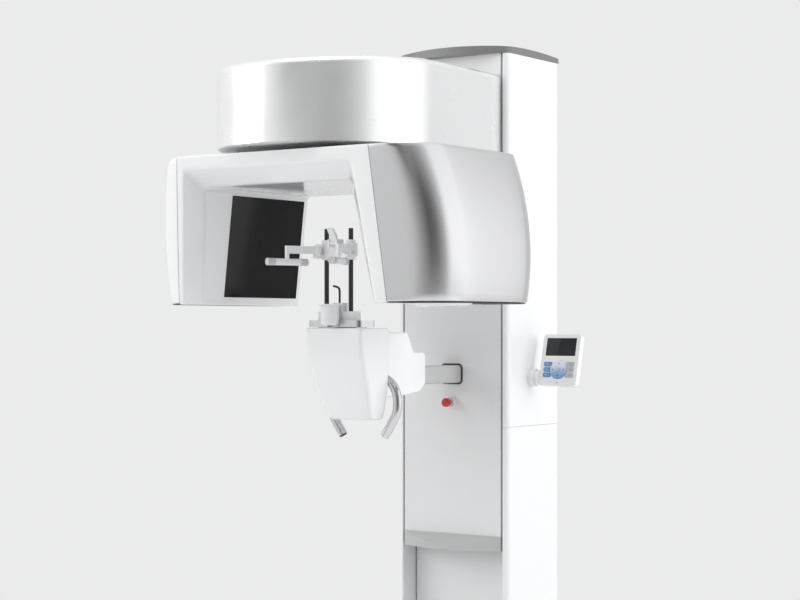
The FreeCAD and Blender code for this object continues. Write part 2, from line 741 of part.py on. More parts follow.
def chin_cup():
    """Chin cup with a rounded base and a small rim, moulded together with its holder."""
    outer = cylinder(0, CUP_Y, TRAY_BOTTOM + 4, CUP_RADIUS, 50)
    outer = round_edges(outer, 8, lambda edge: edge.BoundBox.ZMax < TRAY_BOTTOM + 4.1)
    rim = cylinder(0, CUP_Y, TRAY_BOTTOM + 51, CUP_RADIUS + 5, 3)
    hollow = cylinder(0, CUP_Y, TRAY_BOTTOM + 10, CUP_RADIUS - 3, 60)
    holder = rounded_block(-55, 55, CUP_Y + 20, -466, TRAY_TOP, HOLDER_TOP, 9)
    block = rounded_block(ROD_X - 14, ROD_X + 16, CUP_Y + 20, -472, TRAY_TOP, HOLDER_TOP + 20, 5)
    cup = fuse([outer, rim, holder, block]).cut(hollow)
    for side in (-1, 1):
        cup = cup.cut(cylinder(side * POST_X, POST_Y, TRAY_TOP - 1, POST_RADIUS + RUNNING, 60))
    return cup.cut(cylinder(ROD_X, ROD_Y, ROD_FOOT, ROD_SECTION + RUNNING, 60))


def bite_rod():
    """Bite rod that stands in the holder behind the chin cup and bends over at its top."""
    route = [Vector(ROD_X, ROD_Y, ROD_FOOT), Vector(ROD_X, ROD_Y, 1545), Vector(ROD_X - 17, ROD_Y - 2, 1549)]
    return tube_along(route, ROD_SECTION)


def support_posts():
    """Two black posts that carry the head support."""
    posts = []
    for side in (-1, 1):
        posts.append(cylinder(side * POST_X, POST_Y, TRAY_TOP, POST_RADIUS, POST_TOP - TRAY_TOP))
    return Part.makeCompound(posts)


# Head support

def head_bracket():
    """Bracket that slides on the posts and carries the temple arms and the forehead blade."""
    bar = rounded_block(-50, 50, POST_Y - 9, POST_Y + 11, 1618, 1648, 6)
    pieces = [bar]
    for side in (-1, 1):
        x = side * POST_X
        pieces.append(cylinder(x, POST_Y, HEAD_BOTTOM, 11, HEAD_TOP - HEAD_BOTTOM))
        pivot = side * TEMPLE_PIVOT_X
        pieces.append(rounded_block(pivot - 9, pivot + 9, TEMPLE_PIVOT_Y - 9, POST_Y, 1614, 1622, 8))
        pieces.append(cylinder(pivot, TEMPLE_PIVOT_Y, 1613, TEMPLE_PIN_RADIUS, 34))
    for x in (-14, 9):
        pieces.append(box(x, x + 5, BLADE_PIVOT[1] - 6, POST_Y, 1640, 1658))
    bracket = fuse(pieces)
    for side in (-1, 1):
        bracket = bracket.cut(cylinder(side * POST_X, POST_Y, 1600, POST_RADIUS + RUNNING, 70))
    return bracket.cut(cylinder(-20, BLADE_PIVOT[1], BLADE_PIVOT[2], 2 + RUNNING, 40, X_AXIS))


def forehead_blade():
    """Curved blade that rests on the forehead, on its own cross pin."""
    pin = cylinder(-14, BLADE_PIVOT[1], BLADE_PIVOT[2], 2, 28, X_AXIS)
    eye = cylinder(-8.5, BLADE_PIVOT[1], BLADE_PIVOT[2], 5, 17, X_AXIS)
    profile = [(BLADE_PIVOT[1] + 4, BLADE_PIVOT[2]), (BLADE_PIVOT[1] + 2, BLADE_PIVOT[2] + 18),
               (-516, 1684), (-520, 1682), (BLADE_PIVOT[1] - 4, BLADE_PIVOT[2] + 14),
               (BLADE_PIVOT[1] - 2, BLADE_PIVOT[2])]
    blade = prism(rounded_wire(in_side(profile, -8.5), 0), Vector(17, 0, 0))
    return fuse([pin, eye, blade])


def temple_bar_axis():
    """Direction of the right-hand temple bar, from its front end to its back end."""
    angle = math.radians(TEMPLE_BAR_ANGLE)
    return Vector(-math.cos(angle), math.sin(angle), 0)


def temple_arm(side):
    """Arm, leg and bar of one temple support, moulded in one piece."""
    eye = cylinder(TEMPLE_PIVOT_X, TEMPLE_PIVOT_Y, 1622 + FREE, 9, 22)
    run = Vector(TEMPLE_END[0] - TEMPLE_PIVOT_X, TEMPLE_END[1] - TEMPLE_PIVOT_Y, 0)
    across = Vector(-run.y, run.x, 0).normalize() * 5
    start = Vector(TEMPLE_PIVOT_X, TEMPLE_PIVOT_Y, 1624)
    end = start + run
    outline = [start - across, end - across, end + across, start + across]
    arm = prism(rounded_wire(outline, 0), Vector(0, 0, 18))
    leg = cylinder(TEMPLE_END[0], TEMPLE_END[1], TEMPLE_BAR_Z, 5.2, 1642 - TEMPLE_BAR_Z)
    half = TEMPLE_BAR_LENGTH / 2 - TEMPLE_PAD_LENGTH
    middle = Vector(TEMPLE_END[0], TEMPLE_END[1], TEMPLE_BAR_Z)
    bar = Part.makeCylinder(8, 2 * half, middle - temple_bar_axis() * half, temple_bar_axis())
    shape = fuse([eye, arm, leg, bar])
    shape = shape.cut(cylinder(TEMPLE_PIVOT_X, TEMPLE_PIVOT_Y, 1600, TEMPLE_PIN_RADIUS + RUNNING, 80))
    return shape if side > 0 else mirrored(shape)


def temple_pads(side):
    """Rubber caps on both ends of a temple bar."""
    middle = Vector(TEMPLE_END[0], TEMPLE_END[1], TEMPLE_BAR_Z)
    caps = []
    for way in (-1, 1):
        outward = temple_bar_axis() * way
        start = middle + outward * (TEMPLE_BAR_LENGTH / 2 - TEMPLE_PAD_LENGTH)
        cap = Part.makeCylinder(8.5, TEMPLE_PAD_LENGTH, start, outward)
        caps.append(cap if side > 0 else mirrored(cap))
    return Part.makeCompound(caps)


# Console, modelled upright and then tilted about its hinge

def tilted(shape):
    """The shape leaned back about the console's hinge."""
    shape = shape.copy()
    shape.rotate(Vector(0, CONSOLE_PIVOT_Y, CONSOLE_PIVOT_Z), X_AXIS, -CONSOLE_TILT)
    return shape


def console_mount():
    """Fixed half of the console's swivel, on the column's side."""
    disc = cylinder(COLUMN_HALF_WIDTH, CONSOLE_PIVOT_Y, CONSOLE_PIVOT_Z, 22.5, 16, X_AXIS)
    pin = cylinder(COLUMN_HALF_WIDTH + 15, CONSOLE_PIVOT_Y, CONSOLE_PIVOT_Z, 8, 12, X_AXIS)
    return fuse([disc, pin])


def console_slab(y_min, y_max, inset):
    """Rounded slab of the console, facing the -Y side."""
    top = CONSOLE_BOTTOM + CONSOLE_HEIGHT
    corners = [(CONSOLE_LEFT + inset, CONSOLE_BOTTOM + inset), (CONSOLE_RIGHT - inset, CONSOLE_BOTTOM + inset),
               (CONSOLE_RIGHT - inset, top - inset), (CONSOLE_LEFT + inset, top - inset)]
    return prism(rounded_wire(in_front(corners, y_min), 9 - inset / 2), Vector(0, y_max - y_min, 0))


def console_faces():
    """Front and back planes of the console, and the seam between its shells."""
    front = CONSOLE_PIVOT_Y - CONSOLE_THICKNESS / 2
    return front, front + 11, front + CONSOLE_THICKNESS


def key_places():
    """Name, centre and half size of each side key on the console's face."""
    middle = (CONSOLE_LEFT + CONSOLE_RIGHT) / 2
    places = []
    for name, x in (("left", middle - 32), ("right", middle + 32)):
        for index, level in enumerate((14, 0, -14)):
            places.append((f"{name}_key_{index + 1}", x, CONSOLE_BOTTOM + RING_HEIGHT + level))
    return places


def key_slab(x, z, grow, y_min, y_max):
    """Rounded slab of a side key."""
    corners = [(x - 11.5 - grow, z - 5.5 - grow), (x + 11.5 + grow, z - 5.5 - grow),
               (x + 11.5 + grow, z + 5.5 + grow), (x - 11.5 - grow, z + 5.5 + grow)]
    return prism(rounded_wire(in_front(corners, y_min), 3 + grow), Vector(0, y_max - y_min, 0))


def ring_axis():
    """Centre of the navigation ring on the console's face."""
    return (CONSOLE_LEFT + CONSOLE_RIGHT) / 2, CONSOLE_BOTTOM + RING_HEIGHT


def side_key(x, z):
    """One side key with its skirt, clear of the navigation ring."""
    front = console_faces()[0]
    ring_x, ring_z = ring_axis()
    key = key_slab(x, z, 0, front - 1.2, front + 6)
    return tilted(key.cut(cylinder(ring_x, front - 5, ring_z, RING_RADIUS + 0.8, 20, Y_AXIS)))


def ring_key():
    """Navigation ring, which rocks as one key."""
    front = console_faces()[0]
    x, z = ring_axis()
    ring = cylinder(x, front - 1.6, z, RING_RADIUS, 7.6, Y_AXIS)
    ring = round_edges(ring, 1, lambda edge: edge.BoundBox.YMax < front - 1.5)
    return tilted(ring.cut(cylinder(x, front - 5, z, 5.9, 20, Y_AXIS)))


def centre_key():
    """Round key in the middle of the navigation ring."""
    front = console_faces()[0]
    x, z = ring_axis()
    return tilted(cylinder(x, front - 2.2, z, 5.5, 8.2, Y_AXIS))


def screen_slab(grow, y_min, y_max):
    """Slab of the console's display window."""
    middle = (CONSOLE_LEFT + CONSOLE_RIGHT) / 2
    low = CONSOLE_BOTTOM + 78 - grow
    return box(middle - 43 - grow, middle + 43 + grow, y_min, y_max, low, low + 46 + 2 * grow)


def console_front():
    """Front shell of the console, with openings for the display and the keys."""
    front, seam, _ = console_faces()
    ring_x, ring_z = ring_axis()
    shell = console_slab(front, seam, 0).cut(console_slab(front + 3, seam + 1, 3))
    shell = shell.cut(screen_slab(0.3, front - 1, front + 4))
    shell = shell.cut(cylinder(ring_x, front - 1, ring_z, RING_RADIUS + FREE, 6, Y_AXIS))
    for _, x, z in key_places():
        shell = shell.cut(key_slab(x, z, FREE, front - 1, front + 4))
    return tilted(shell)


def console_screen():
    """Display module behind the front shell's window."""
    front = console_faces()[0]
    middle = (CONSOLE_LEFT + CONSOLE_RIGHT) / 2
    low = CONSOLE_BOTTOM + 75
    module = box(middle - 46, middle + 46, front + 3.2, front + 8, low, low + 52)
    return tilted(fuse([screen_slab(0, front + 0.4, front + 4), module]))


def console_back():
    """Back shell of the console, with the moving half of its swivel."""
    _, seam, back = console_faces()
    shell = console_slab(seam + 0.1, back, 0).cut(console_slab(seam, back - 3, 3))
    knuckle = cylinder(COLUMN_HALF_WIDTH + 16 + FREE, CONSOLE_PIVOT_Y, CONSOLE_PIVOT_Z, 18,
                       CONSOLE_LEFT - COLUMN_HALF_WIDTH - 16 - FREE + 1, X_AXIS)
    knuckle = knuckle.common(box(180, CONSOLE_LEFT + 1, seam - 40, back + 40, 1280, 1360))
    bore = cylinder(180, CONSOLE_PIVOT_Y, CONSOLE_PIVOT_Z, 8 + RUNNING, 20, X_AXIS)
    web = cylinder(CONSOLE_LEFT - 2, CONSOLE_PIVOT_Y, CONSOLE_PIVOT_Z, 18, 6, X_AXIS)
    web = web.common(box(180, 240, seam + 0.1, back, 1280, 1360))
    knuckle = knuckle.cut(box(CONSOLE_LEFT - 0.1, 240, 0, seam + 0.1, 1280, 1360))
    return tilted(fuse([shell, knuckle, web]).cut(bore))


def save(name, shape):
    """Write one sub-part as a STEP file."""
    shape.exportStep(f"parts/{name}.step")


def build_base():
    """Nodes that stand on the floor."""
    save("base_plate", base_plate())
    save("mast", mast())
    save("mast_bolts", mast_bolts())
    save("guide_blocks", guide_blocks())
    save("lift_actuator", lift_actuator())
    save("mains_inlet", mains_inlet())


def build_column():
    """Nodes of the moving column."""
    for side, word in ((-1, "left"), (1, "right")):
        save(f"{word}_lower_cover", side_cover(side, COLUMN_BOTTOM, COVER_SPLIT))
        save(f"{word}_upper_cover", side_cover(side, COVER_SPLIT + SEAM, PANEL_TOP - SEAM))
    save("rear_cover", rear_cover())
    save("front_panel", front_panel())
    save("top_cap", top_cap())
    save("bottom_tray", bottom_tray())
    save("column_frame", column_frame())
    save("guide_rails", guide_rails())
    save("actuator_rod", actuator_rod())
    save("port_collar", port_collar())
    save("stop_collar", stop_collar())
    save("stop_button", stop_button())
    save("console_mount", console_mount())


def build_arm():
    """Nodes of the overhead arm and the rotation stage in it."""
    save("arm_shell", arm_shell())
    save("arm_floor", arm_floor())
    save("arm_frame", arm_frame())
    save("rotation_stage", rotation_stage())
    save("rotation_motor", rotation_motor())


def build_gantry():
    """Nodes that turn about the patient."""
    wall = gantry_wall()
    save("gantry_shell", gantry_shell(wall))
    save("sensor_outer_cover", wall.common(parting_side(-1, SEAM / 2)))
    save("source_outer_cover", wall.common(parting_side(1, SEAM / 2)))
    save("sensor_window", sensor_window_solid(0))
    save("gantry_frame", gantry_frame())
    save("rotation_hub", rotation_hub())
    save("detector_module", detector_module())
    save("tube_housing", tube_housing())
    save("collimator", collimator())


def build_chin_rest():
    """Nodes of the chin rest and the head support."""
    save("support_bar", support_bar())
    save("chin_rest_block", chin_rest_block())
    save("chin_rest_body", chin_rest_body())
    save("handles", handles())
    save("chin_tray", chin_tray())
    save("chin_cup", chin_cup())
    save("bite_rod", bite_rod())
    save("support_posts", support_posts())
    save("head_bracket", head_bracket())
    save("forehead_blade", forehead_blade())
    for side, word in ((-1, "left"), (1, "right")):
        save(f"temple_arm_{word}", temple_arm(side))
        save(f"temple_pads_{word}", temple_pads(side))


def build_console():
    """Nodes of the console."""
    save("console_front", console_front())
    save("console_back", console_back())
    save("console_screen", console_screen())
    save("ring_key", ring_key())
    save("centre_key", centre_key())
    for name, x, z in key_places():
        save(name, side_key(x, z))


def main():
    """Write every node of the unit."""
    os.makedirs("parts", exist_ok=True)
    build_base()
    build_column()
    build_arm()
    build_gantry()
    build_chin_rest()
    build_console()


main()
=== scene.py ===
# %% [markdown]
# # A dental CT scanner, finished in Blender over its CAD frame
# The real machine is a lifting column with an overhead arm. A U-shaped gantry turns under the arm round
# the patient's head, which a chin rest and two temple bars hold still.
# Every size and place comes from the imported CAD model, so nothing has to be fitted by eye. This first
# cell loads that model.

# %% Load the frame
import json
import math

import bmesh
import bpy
from mathutils import Matrix, Vector

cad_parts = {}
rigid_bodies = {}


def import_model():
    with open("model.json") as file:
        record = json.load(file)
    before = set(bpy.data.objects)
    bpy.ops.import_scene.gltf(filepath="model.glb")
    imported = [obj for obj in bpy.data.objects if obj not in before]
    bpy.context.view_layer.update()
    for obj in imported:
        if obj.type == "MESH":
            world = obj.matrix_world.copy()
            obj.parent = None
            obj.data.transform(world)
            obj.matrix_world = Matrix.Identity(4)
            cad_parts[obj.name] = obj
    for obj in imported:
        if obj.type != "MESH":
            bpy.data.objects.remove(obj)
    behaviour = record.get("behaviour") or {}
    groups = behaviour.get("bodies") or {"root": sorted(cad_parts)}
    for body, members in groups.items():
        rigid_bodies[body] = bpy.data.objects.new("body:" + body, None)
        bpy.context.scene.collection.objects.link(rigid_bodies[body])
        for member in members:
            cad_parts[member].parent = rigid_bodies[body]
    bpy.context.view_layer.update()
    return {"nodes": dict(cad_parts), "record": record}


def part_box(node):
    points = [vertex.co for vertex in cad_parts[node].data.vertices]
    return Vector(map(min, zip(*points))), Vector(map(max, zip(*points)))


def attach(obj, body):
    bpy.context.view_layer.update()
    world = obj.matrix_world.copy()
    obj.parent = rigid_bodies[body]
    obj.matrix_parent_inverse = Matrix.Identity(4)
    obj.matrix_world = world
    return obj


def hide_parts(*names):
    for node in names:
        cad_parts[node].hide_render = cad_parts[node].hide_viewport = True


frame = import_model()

nodes = frame["nodes"]

# %% [markdown]
# ## The camera
# A long lens from standing eye height keeps the column's edges upright, because the camera is level and
# its view is only shifted up a little. Level cameras are the usual choice for furniture and machines.

# %% The camera
camera_data = bpy.data.cameras.new("camera")
camera_data.lens = 85.3
camera_data.sensor_width = 36
camera_data.shift_y = 0.035
camera = bpy.data.objects.new("camera", camera_data)
camera.location = (2.671, -4.061, 1.450)
camera.rotation_euler = (math.radians(90), 0, math.radians(34.9))
bpy.context.scene.collection.objects.link(camera)
bpy.context.scene.camera = camera
print("camera", round(camera.location.length, 2), "m from the origin")

# %% [markdown]
# ## A small helper for shader nodes
# Material maths is easier to read as Python than as a net of boxes. `Signal` wraps one output socket, so
# that `1 - mask * 0.3` adds the Math nodes by itself. `Shader.node` makes any other node: its settings
# go in first, then the values or links of its sockets.

# %% The shader helper
class Signal:
    """One output socket of a material, with arithmetic."""

    def __init__(self, shader, socket):
        self.shader = shader
        self.socket = socket

    def math(self, operation, first, second=0.0):
        return self.shader.node("ShaderNodeMath", {"operation": operation}, {0: first, 1: second})

    def __add__(self, other):
        return self.math("ADD", self, other)

    def __sub__(self, other):
        return self.math("SUBTRACT", self, other)

    def __mul__(self, other):
        return self.math("MULTIPLY", self, other)

    def __truediv__(self, other):
        return self.math("DIVIDE", self, other)

    def __rsub__(self, other):
        return self.math("SUBTRACT", other, self)

    __radd__ = __add__
    __rmul__ = __mul__


class Shader:
    """The node tree of one material or world."""

    def __init__(self, owner):
        owner.use_nodes = True
        self.tree = owner.node_tree
        self.tree.nodes.clear()

    def node(self, kind, settings=None, sockets=None, output=0):
        made = self.tree.nodes.new(kind)
        for name, value in (settings or {}).items():
            if name == "stops":
                self.set_stops(made.color_ramp, value)
            else:
                setattr(made, name, value)
        for name, value in (sockets or {}).items():
            if isinstance(value, Signal):
                self.tree.links.new(value.socket, made.inputs[name])
            else:
                made.inputs[name].default_value = value
        return Signal(self, made.outputs[output]) if made.outputs else None

    @staticmethod
    def set_stops(ramp, stops):
        while len(ramp.elements) < len(stops):
            ramp.elements.new(1.0)
        for element, (position, tone) in zip(ramp.elements, stops):
            element.position = position
            element.color = tone if len(tone) == 4 else (*tone, 1.0)


def grey(value):
    """A neutral colour, a touch cooler than pure grey."""
    return (value, value * 1.003, value * 1.008, 1.0)


print("shader helper ready")

# %% [markdown]
# ## The studio
# The machine stands in an even white studio. Glossy and brushed surfaces show what is round them, so the
# room itself is drawn as a smooth ring of tones: a light wall on the patient's left, a dark gap at the
# front right, and a bright wall on the right. The gap is what draws the dark upright band on the brushed
# cover. The camera sees only a plain pale tone behind the object.

# %% The studio's walls
world = bpy.data.worlds.new("studio")
bpy.context.scene.world = world
studio = Shader(world)
# Directions are measured from the patient's side: 0.5 is straight in front, 0.75 is to the right.
WALL_TONES = [(0.0, 0.85), (0.25, 0.95), (0.333, 0.9), (0.403, 0.88), (0.47, 0.80), (0.54, 0.40),
              (0.60, 0.10), (0.65, 0.20), (0.70, 0.6), (0.74, 1.45), (0.80, 1.5), (0.89, 1.5),
              (0.925, 1.15), (0.95, 0.8)]
BRIGHTEST = 1.5
CEILING_TONE, GROUND_TONE, BACKDROP_TONE = 0.72, 0.42, 0.83
STUDIO_STRENGTH = 1.22
direction = studio.node("ShaderNodeTexCoord", output="Generated")
parts = [studio.node("ShaderNodeSeparateXYZ", sockets={0: direction}, output=axis) for axis in range(3)]
turn = parts[0].math("ARCTAN2", parts[0], 0 - parts[1]) / (2 * math.pi) + 0.5
wall_stops = [(place, grey(tone / BRIGHTEST)) for place, tone in WALL_TONES]
ring = studio.node("ShaderNodeValToRGB", {"stops": wall_stops}, {0: turn})
above = studio.node("ShaderNodeMapRange", sockets={0: parts[2], 1: 0.15, 2: 0.95})
below = studio.node("ShaderNodeMapRange", sockets={0: parts[2], 1: -0.1, 2: -0.6})
room = studio.node("ShaderNodeMix", {"data_type": "RGBA"}, {0: above, 6: ring, 7: grey(CEILING_TONE)},
                   output=2)
room = studio.node("ShaderNodeMix", {"data_type": "RGBA"}, {0: below, 6: room, 7: grey(GROUND_TONE)},
                   output=2)
lit = studio.node("ShaderNodeBackground", sockets={0: room, 1: STUDIO_STRENGTH})
seen = studio.node("ShaderNodeBackground", sockets={0: grey(BACKDROP_TONE), 1: 1.0})
straight = studio.node("ShaderNodeLightPath", output="Is Camera Ray")
both = studio.node("ShaderNodeMixShader", sockets={0: straight, 1: lit, 2: seen})
studio.node("ShaderNodeOutputWorld", sockets={0: both})
bpy.context.scene.view_settings.view_transform = "Standard"
print("studio ring has", len(WALL_TONES), "tones")

# %% [markdown]
# Large soft boxes add the gentle direction that walls alone can't give. Two of them only fill in: they
# are kept out of reflections, so the brushed and glossy covers don't show their square outlines.

# %% The soft boxes
def soft_box(name, place, target, width, height, watts):
    """A rectangular area light that faces its target."""
    data = bpy.data.lights.new(name, "AREA")
    data.shape = "RECTANGLE"
    data.size = width
    data.size_y = height
    data.energy = watts
    light = bpy.data.objects.new(name, data)
    light.location = place
    light.rotation_euler = (Vector(target) - Vector(place)).to_track_quat("-Z", "Y").to_euler()
    bpy.context.scene.collection.objects.link(light)
    return light


boxes = [soft_box("left_box", (-3.2, -3.0, 3.2), (0, -0.4, 1.5), 2.4, 2.4, 55),
         soft_box("right_box", (4.2, 0.6, 2.4), (0.2, -0.1, 1.4), 2.4, 3.0, 70),
         soft_box("top_box", (0.2, -1.2, 4.6), (0, -0.4, 1.6), 2.5, 2.5, 30),
         soft_box("front_box", (-0.6, -4.6, 2.0), (0, -0.1, 1.4), 3.2, 2.6, 28)]
for light in (boxes[1], boxes[3]):
    light.visible_glossy = False
print("soft boxes:", [light.name for light in boxes])

# %% [markdown]
# The floor is only there to stand on. It ends behind the object, outside the main view, and has the
# same pale tone as the wall.

# %% The floor
def object_from(name, mesh_tool, smooth=True):
    """Turns a bmesh into an object at the origin."""
    mesh = bpy.data.meshes.new(name)
    mesh_tool.to_mesh(mesh)
    mesh_tool.free()
    if smooth:
        mesh.shade_smooth()
    made = bpy.data.objects.new(name, mesh)
    bpy.context.scene.collection.objects.link(made)
    return made


def matt_paint(name, tone):
    """Plain wall paint for the floor."""
    material = bpy.data.materials.new(name)
    shader = Shader(material)
    place = shader.node("ShaderNodeTexCoord", output="Object")
    mottle = shader.node("ShaderNodeTexNoise", sockets={"Vector": place, "Scale": 1.5, "Detail": 4.0})
    colour = shader.node("ShaderNodeMix", {"data_type": "RGBA"},
                         {0: mottle, 6: grey(tone * 0.985), 7: grey(tone)}, output=2)
    paint = shader.node("ShaderNodeBsdfPrincipled", sockets={"Base Color": colour, "Roughness": 0.7})
    shader.node("ShaderNodeOutputMaterial", sockets={0: paint})
    return material


FLOOR_RADIUS = 4.4
disc = bmesh.new()
bmesh.ops.create_circle(disc, cap_ends=True, radius=FLOOR_RADIUS, segments=128)
floor = object_from("studio_floor", disc, smooth=False)
floor.data.materials.append(matt_paint("floor_paint", 0.8))
print("floor radius", FLOOR_RADIUS, "m")

# %% [markdown]
# A dark card beside a shiny product is a common studio tool, because a dark reflection draws the form of
# a bright surface. This one hangs above eye level, is seen only in reflections, and shades the round arm.
# Its edges fade out softly.

# %% The dark card
def card_paint(name, tone, fades):
    """Dark in the middle and clear at the edges; fades gives the share of width and height that fades."""
    material = bpy.data.materials.new(name)
    shader = Shader(material)
    place = shader.node("ShaderNodeUVMap", {"uv_map": "card"})
    cover = 1.0
    for axis, fade in enumerate(fades):
        along = shader.node("ShaderNodeSeparateXYZ", sockets={0: place}, output=axis)
        for start, end in ((0.0, fade), (1.0, 1.0 - fade)):
            cover = shader.node("ShaderNodeMapRange", {"interpolation_type": "SMOOTHSTEP"},
                                {0: along, 1: start, 2: end}) * cover
    clear = shader.node("ShaderNodeBsdfTransparent")
    dark = shader.node("ShaderNodeEmission", sockets={0: grey(tone), 1: 1.0})
    mixed = shader.node("ShaderNodeMixShader", sockets={0: cover, 1: clear, 2: dark})
    shader.node("ShaderNodeOutputMaterial", sockets={0: mixed})
    return material


def dark_card(name, middle, facing, width, low, high, tone, fades):
    """An upright card that faces a point and is only seen in reflections."""
    away = (Vector(middle) - Vector(facing)).normalized()
    across = Vector((-away.y, away.x)) * width / 2
    tool = bmesh.new()
    places = [(-1, low), (1, low), (1, high), (-1, high)]
    corners = [tool.verts.new((middle[0] + side * across.x, middle[1] + side * across.y, z))
               for side, z in places]
    sheet = tool.faces.new(corners)
    layer = tool.loops.layers.uv.new("card")
    for loop, spot in zip(sheet.loops, ((0, 0), (1, 0), (1, 1), (0, 1))):
        loop[layer].uv = spot
    card = object_from(name, tool, smooth=False)
    card.data.materials.append(card_paint(name + "_paint", tone, fades))
    card.visible_camera = False
    card.visible_diffuse = False
    card.visible_shadow = False
    card.visible_transmission = False
    return card


ARM_CENTRE_Y = -0.522
dark_card("arm_card", middle=(0.20, -3.5), facing=(0, ARM_CENTRE_Y), width=3.2, low=2.12, high=3.3,
          tone=0.12, fades=(0.4, 0.12))
print("dark card set")

# %% [markdown]
# ## Finishes
# Each finish starts from the object's own coordinates, in metres, so a grain of a tenth of a millimetre
# stays that size on every piece. `Finish` gives them all the same few tools: noise at a real size,
# tones mixed by a mask, and a fine bump.

# %% The base of every finish
class Finish(Shader):
    """A Principled material with noise, mixes and bumps in real sizes."""

    def __init__(self, name):
        self.material = bpy.data.materials.new(name)
        super().__init__(self.material)
        self.place = self.node("ShaderNodeTexCoord", output="Object")

    def stretched(self, x, y, z):
        """The coordinates with one density for each axis, in waves per metre."""
        return self.node("ShaderNodeMapping", sockets={"Vector": self.place, "Scale": (x, y, z)})

    def noise(self, size, detail=2.0, roughness=0.5, place=None):
        """Noise from 0 to 1 whose blotches are about `size` metres across."""
        return self.node("ShaderNodeTexNoise", sockets={"Vector": place or self.place, "Scale": 1 / size,
                                                        "Detail": detail, "Roughness": roughness})

    def between(self, mask, low, high):
        """A value from low to high as the mask goes from 0.3 to 0.7, where most noise lies."""
        return self.node("ShaderNodeMapRange", sockets={0: mask, 1: 0.3, 2: 0.7, 3: low, 4: high})

    def tones(self, mask, dark, light):
        return self.node("ShaderNodeMix", {"data_type": "RGBA"}, {0: mask, 6: dark, 7: light}, output=2)

    def bump(self, height, depth, normal=None):
        sockets = {"Height": height, "Distance": depth, "Strength": 1.0}
        if normal:
            sockets["Normal"] = normal
        return self.node("ShaderNodeBump", sockets=sockets)

    def close(self, **sockets):
        """Ends the tree in one Principled shader and returns the material."""
        named = {name.replace("_", " "): value for name, value in sockets.items()}
        surface = self.node("ShaderNodeBsdfPrincipled", sockets=named)
        self.node("ShaderNodeOutputMaterial", sockets={0: surface})
        return self.material


print("finish tools ready")

# %% [markdown]
# ### Painted and moulded covers
# The white covers are moulded plastic and painted sheet steel. Under a lamp such paint shows a very fine
# orange peel, slightly uneven gloss where it has been wiped, and hardly any change of colour.

# %% Covers
def cover_finish(name, tone, gloss, peel=0.00002, coat=0.0, pearl=0.0):
    """Paint or moulded plastic: faint clouding, wiped gloss and orange peel; pearl paint has metal flakes."""
    finish = Finish(name)
    light = grey(tone)
    dark = grey(tone * 0.965)
    cloud = finish.noise(0.35, detail=3.0)
    wiped = finish.noise(0.06, detail=5.0, roughness=0.6)
    return finish.close(Base_Color=finish.tones(cloud, dark, light),
                        Metallic=pearl,
                        Roughness=finish.between(wiped, gloss * 0.85, gloss * 1.15),
                        Coat_Weight=coat,
                        Coat_Roughness=0.08,
                        Normal=finish.bump(finish.noise(0.0018, detail=3.0), peel))


white_gloss = cover_finish("white_gloss_cover", 0.84, 0.16, peel=0.000006, coat=0.5)
white_enamel = cover_finish("white_enamel_cover", 0.84, 0.34)
panel_grey = cover_finish("light_grey_enamel", 0.76, 0.34, peel=0.00003)
cap_grey = cover_finish("mid_grey_enamel", 0.19, 0.35, peel=0.00003)
pearl_white = cover_finish("pearl_white_cover", 0.93, 0.24, peel=0.00001, coat=0.4, pearl=0.62)
ledge_grey = cover_finish("ledge_grey_enamel", 0.48, 0.35, peel=0.00003)
base_grey = cover_finish("textured_grey_enamel", 0.34, 0.5, peel=0.00016)
head_white = cover_finish("off_white_plastic", 0.82, 0.36, peel=0.00004)
print("cover finishes made")

# %% [markdown]
# ### Metals
# Brushing leaves fine parallel scratches, so the noise is stretched a few hundred times along the
# brushing. The scratches change both the gloss and the normal. Polished tube has far fainter lines, and
# machined blocks show the cutter's paths.

# %% Metals
def brushed_metal(name, tone, gloss, density, depth, contrast=0.1):
    """Metal with grooves; density gives the waves per metre along X, Y and Z."""
    finish = Finish(name)
    lines = finish.noise(1.0, detail=4.0, roughness=0.7, place=finish.stretched(*density))
    patches = finish.noise(0.12, detail=3.0)
    light = (tone, tone, tone * 1.01, 1.0)
    dark = tuple(part * (1 - contrast) for part in light[:3]) + (1.0,)
    return finish.close(Base_Color=finish.tones(lines, dark, light),
                        Metallic=1.0,
                        Roughness=finish.between(lines * 0.7 + patches * 0.3, gloss * 0.8, gloss * 1.2),
                        Normal=finish.bump(lines, depth))


brushed_cover = brushed_metal("brushed_steel_cover", 0.80, 0.2, (1600, 1600, 5), 0.000012, 0.14)
polished_steel = brushed_metal("polished_steel_tube", 0.70, 0.24, (60, 60, 900), 0.000004, 0.05)
brushed_plate = brushed_metal("brushed_steel_plate", 0.72, 0.26, (12, 1400, 1400), 0.00001)
machined = brushed_metal("machined_aluminium", 0.66, 0.34, (500, 14, 500), 0.00002)
dark_steel = brushed_metal("ground_steel", 0.34, 0.3, (900, 900, 20), 0.00001)
print("metals made")

# %% [markdown]
# ### Dark and coloured plastics
# The gloss black window and the display are smooth, so only finger marks break their reflection. The
# satin black rods and the rubber parts have a moulded grain.

# %% Plastics and rubber
def plastic(name, colour, gloss, grain=0.00003, grain_size=0.0008, coat=0.0, ior=1.5):
    """Moulded plastic or rubber with a grain of the given depth and size."""
    finish = Finish(name)
    dark = tuple(part * 0.86 for part in colour) + (1.0,)
    smudge = finish.noise(0.02, detail=5.0, roughness=0.65)
    return finish.close(Base_Color=finish.tones(finish.noise(0.05, detail=3.0), dark, (*colour, 1.0)),
                        Roughness=finish.between(smudge, gloss * 0.75, gloss * 1.3),
                        Coat_Weight=coat,
                        IOR=ior,
                        Normal=finish.bump(finish.noise(grain_size, detail=2.0), grain))


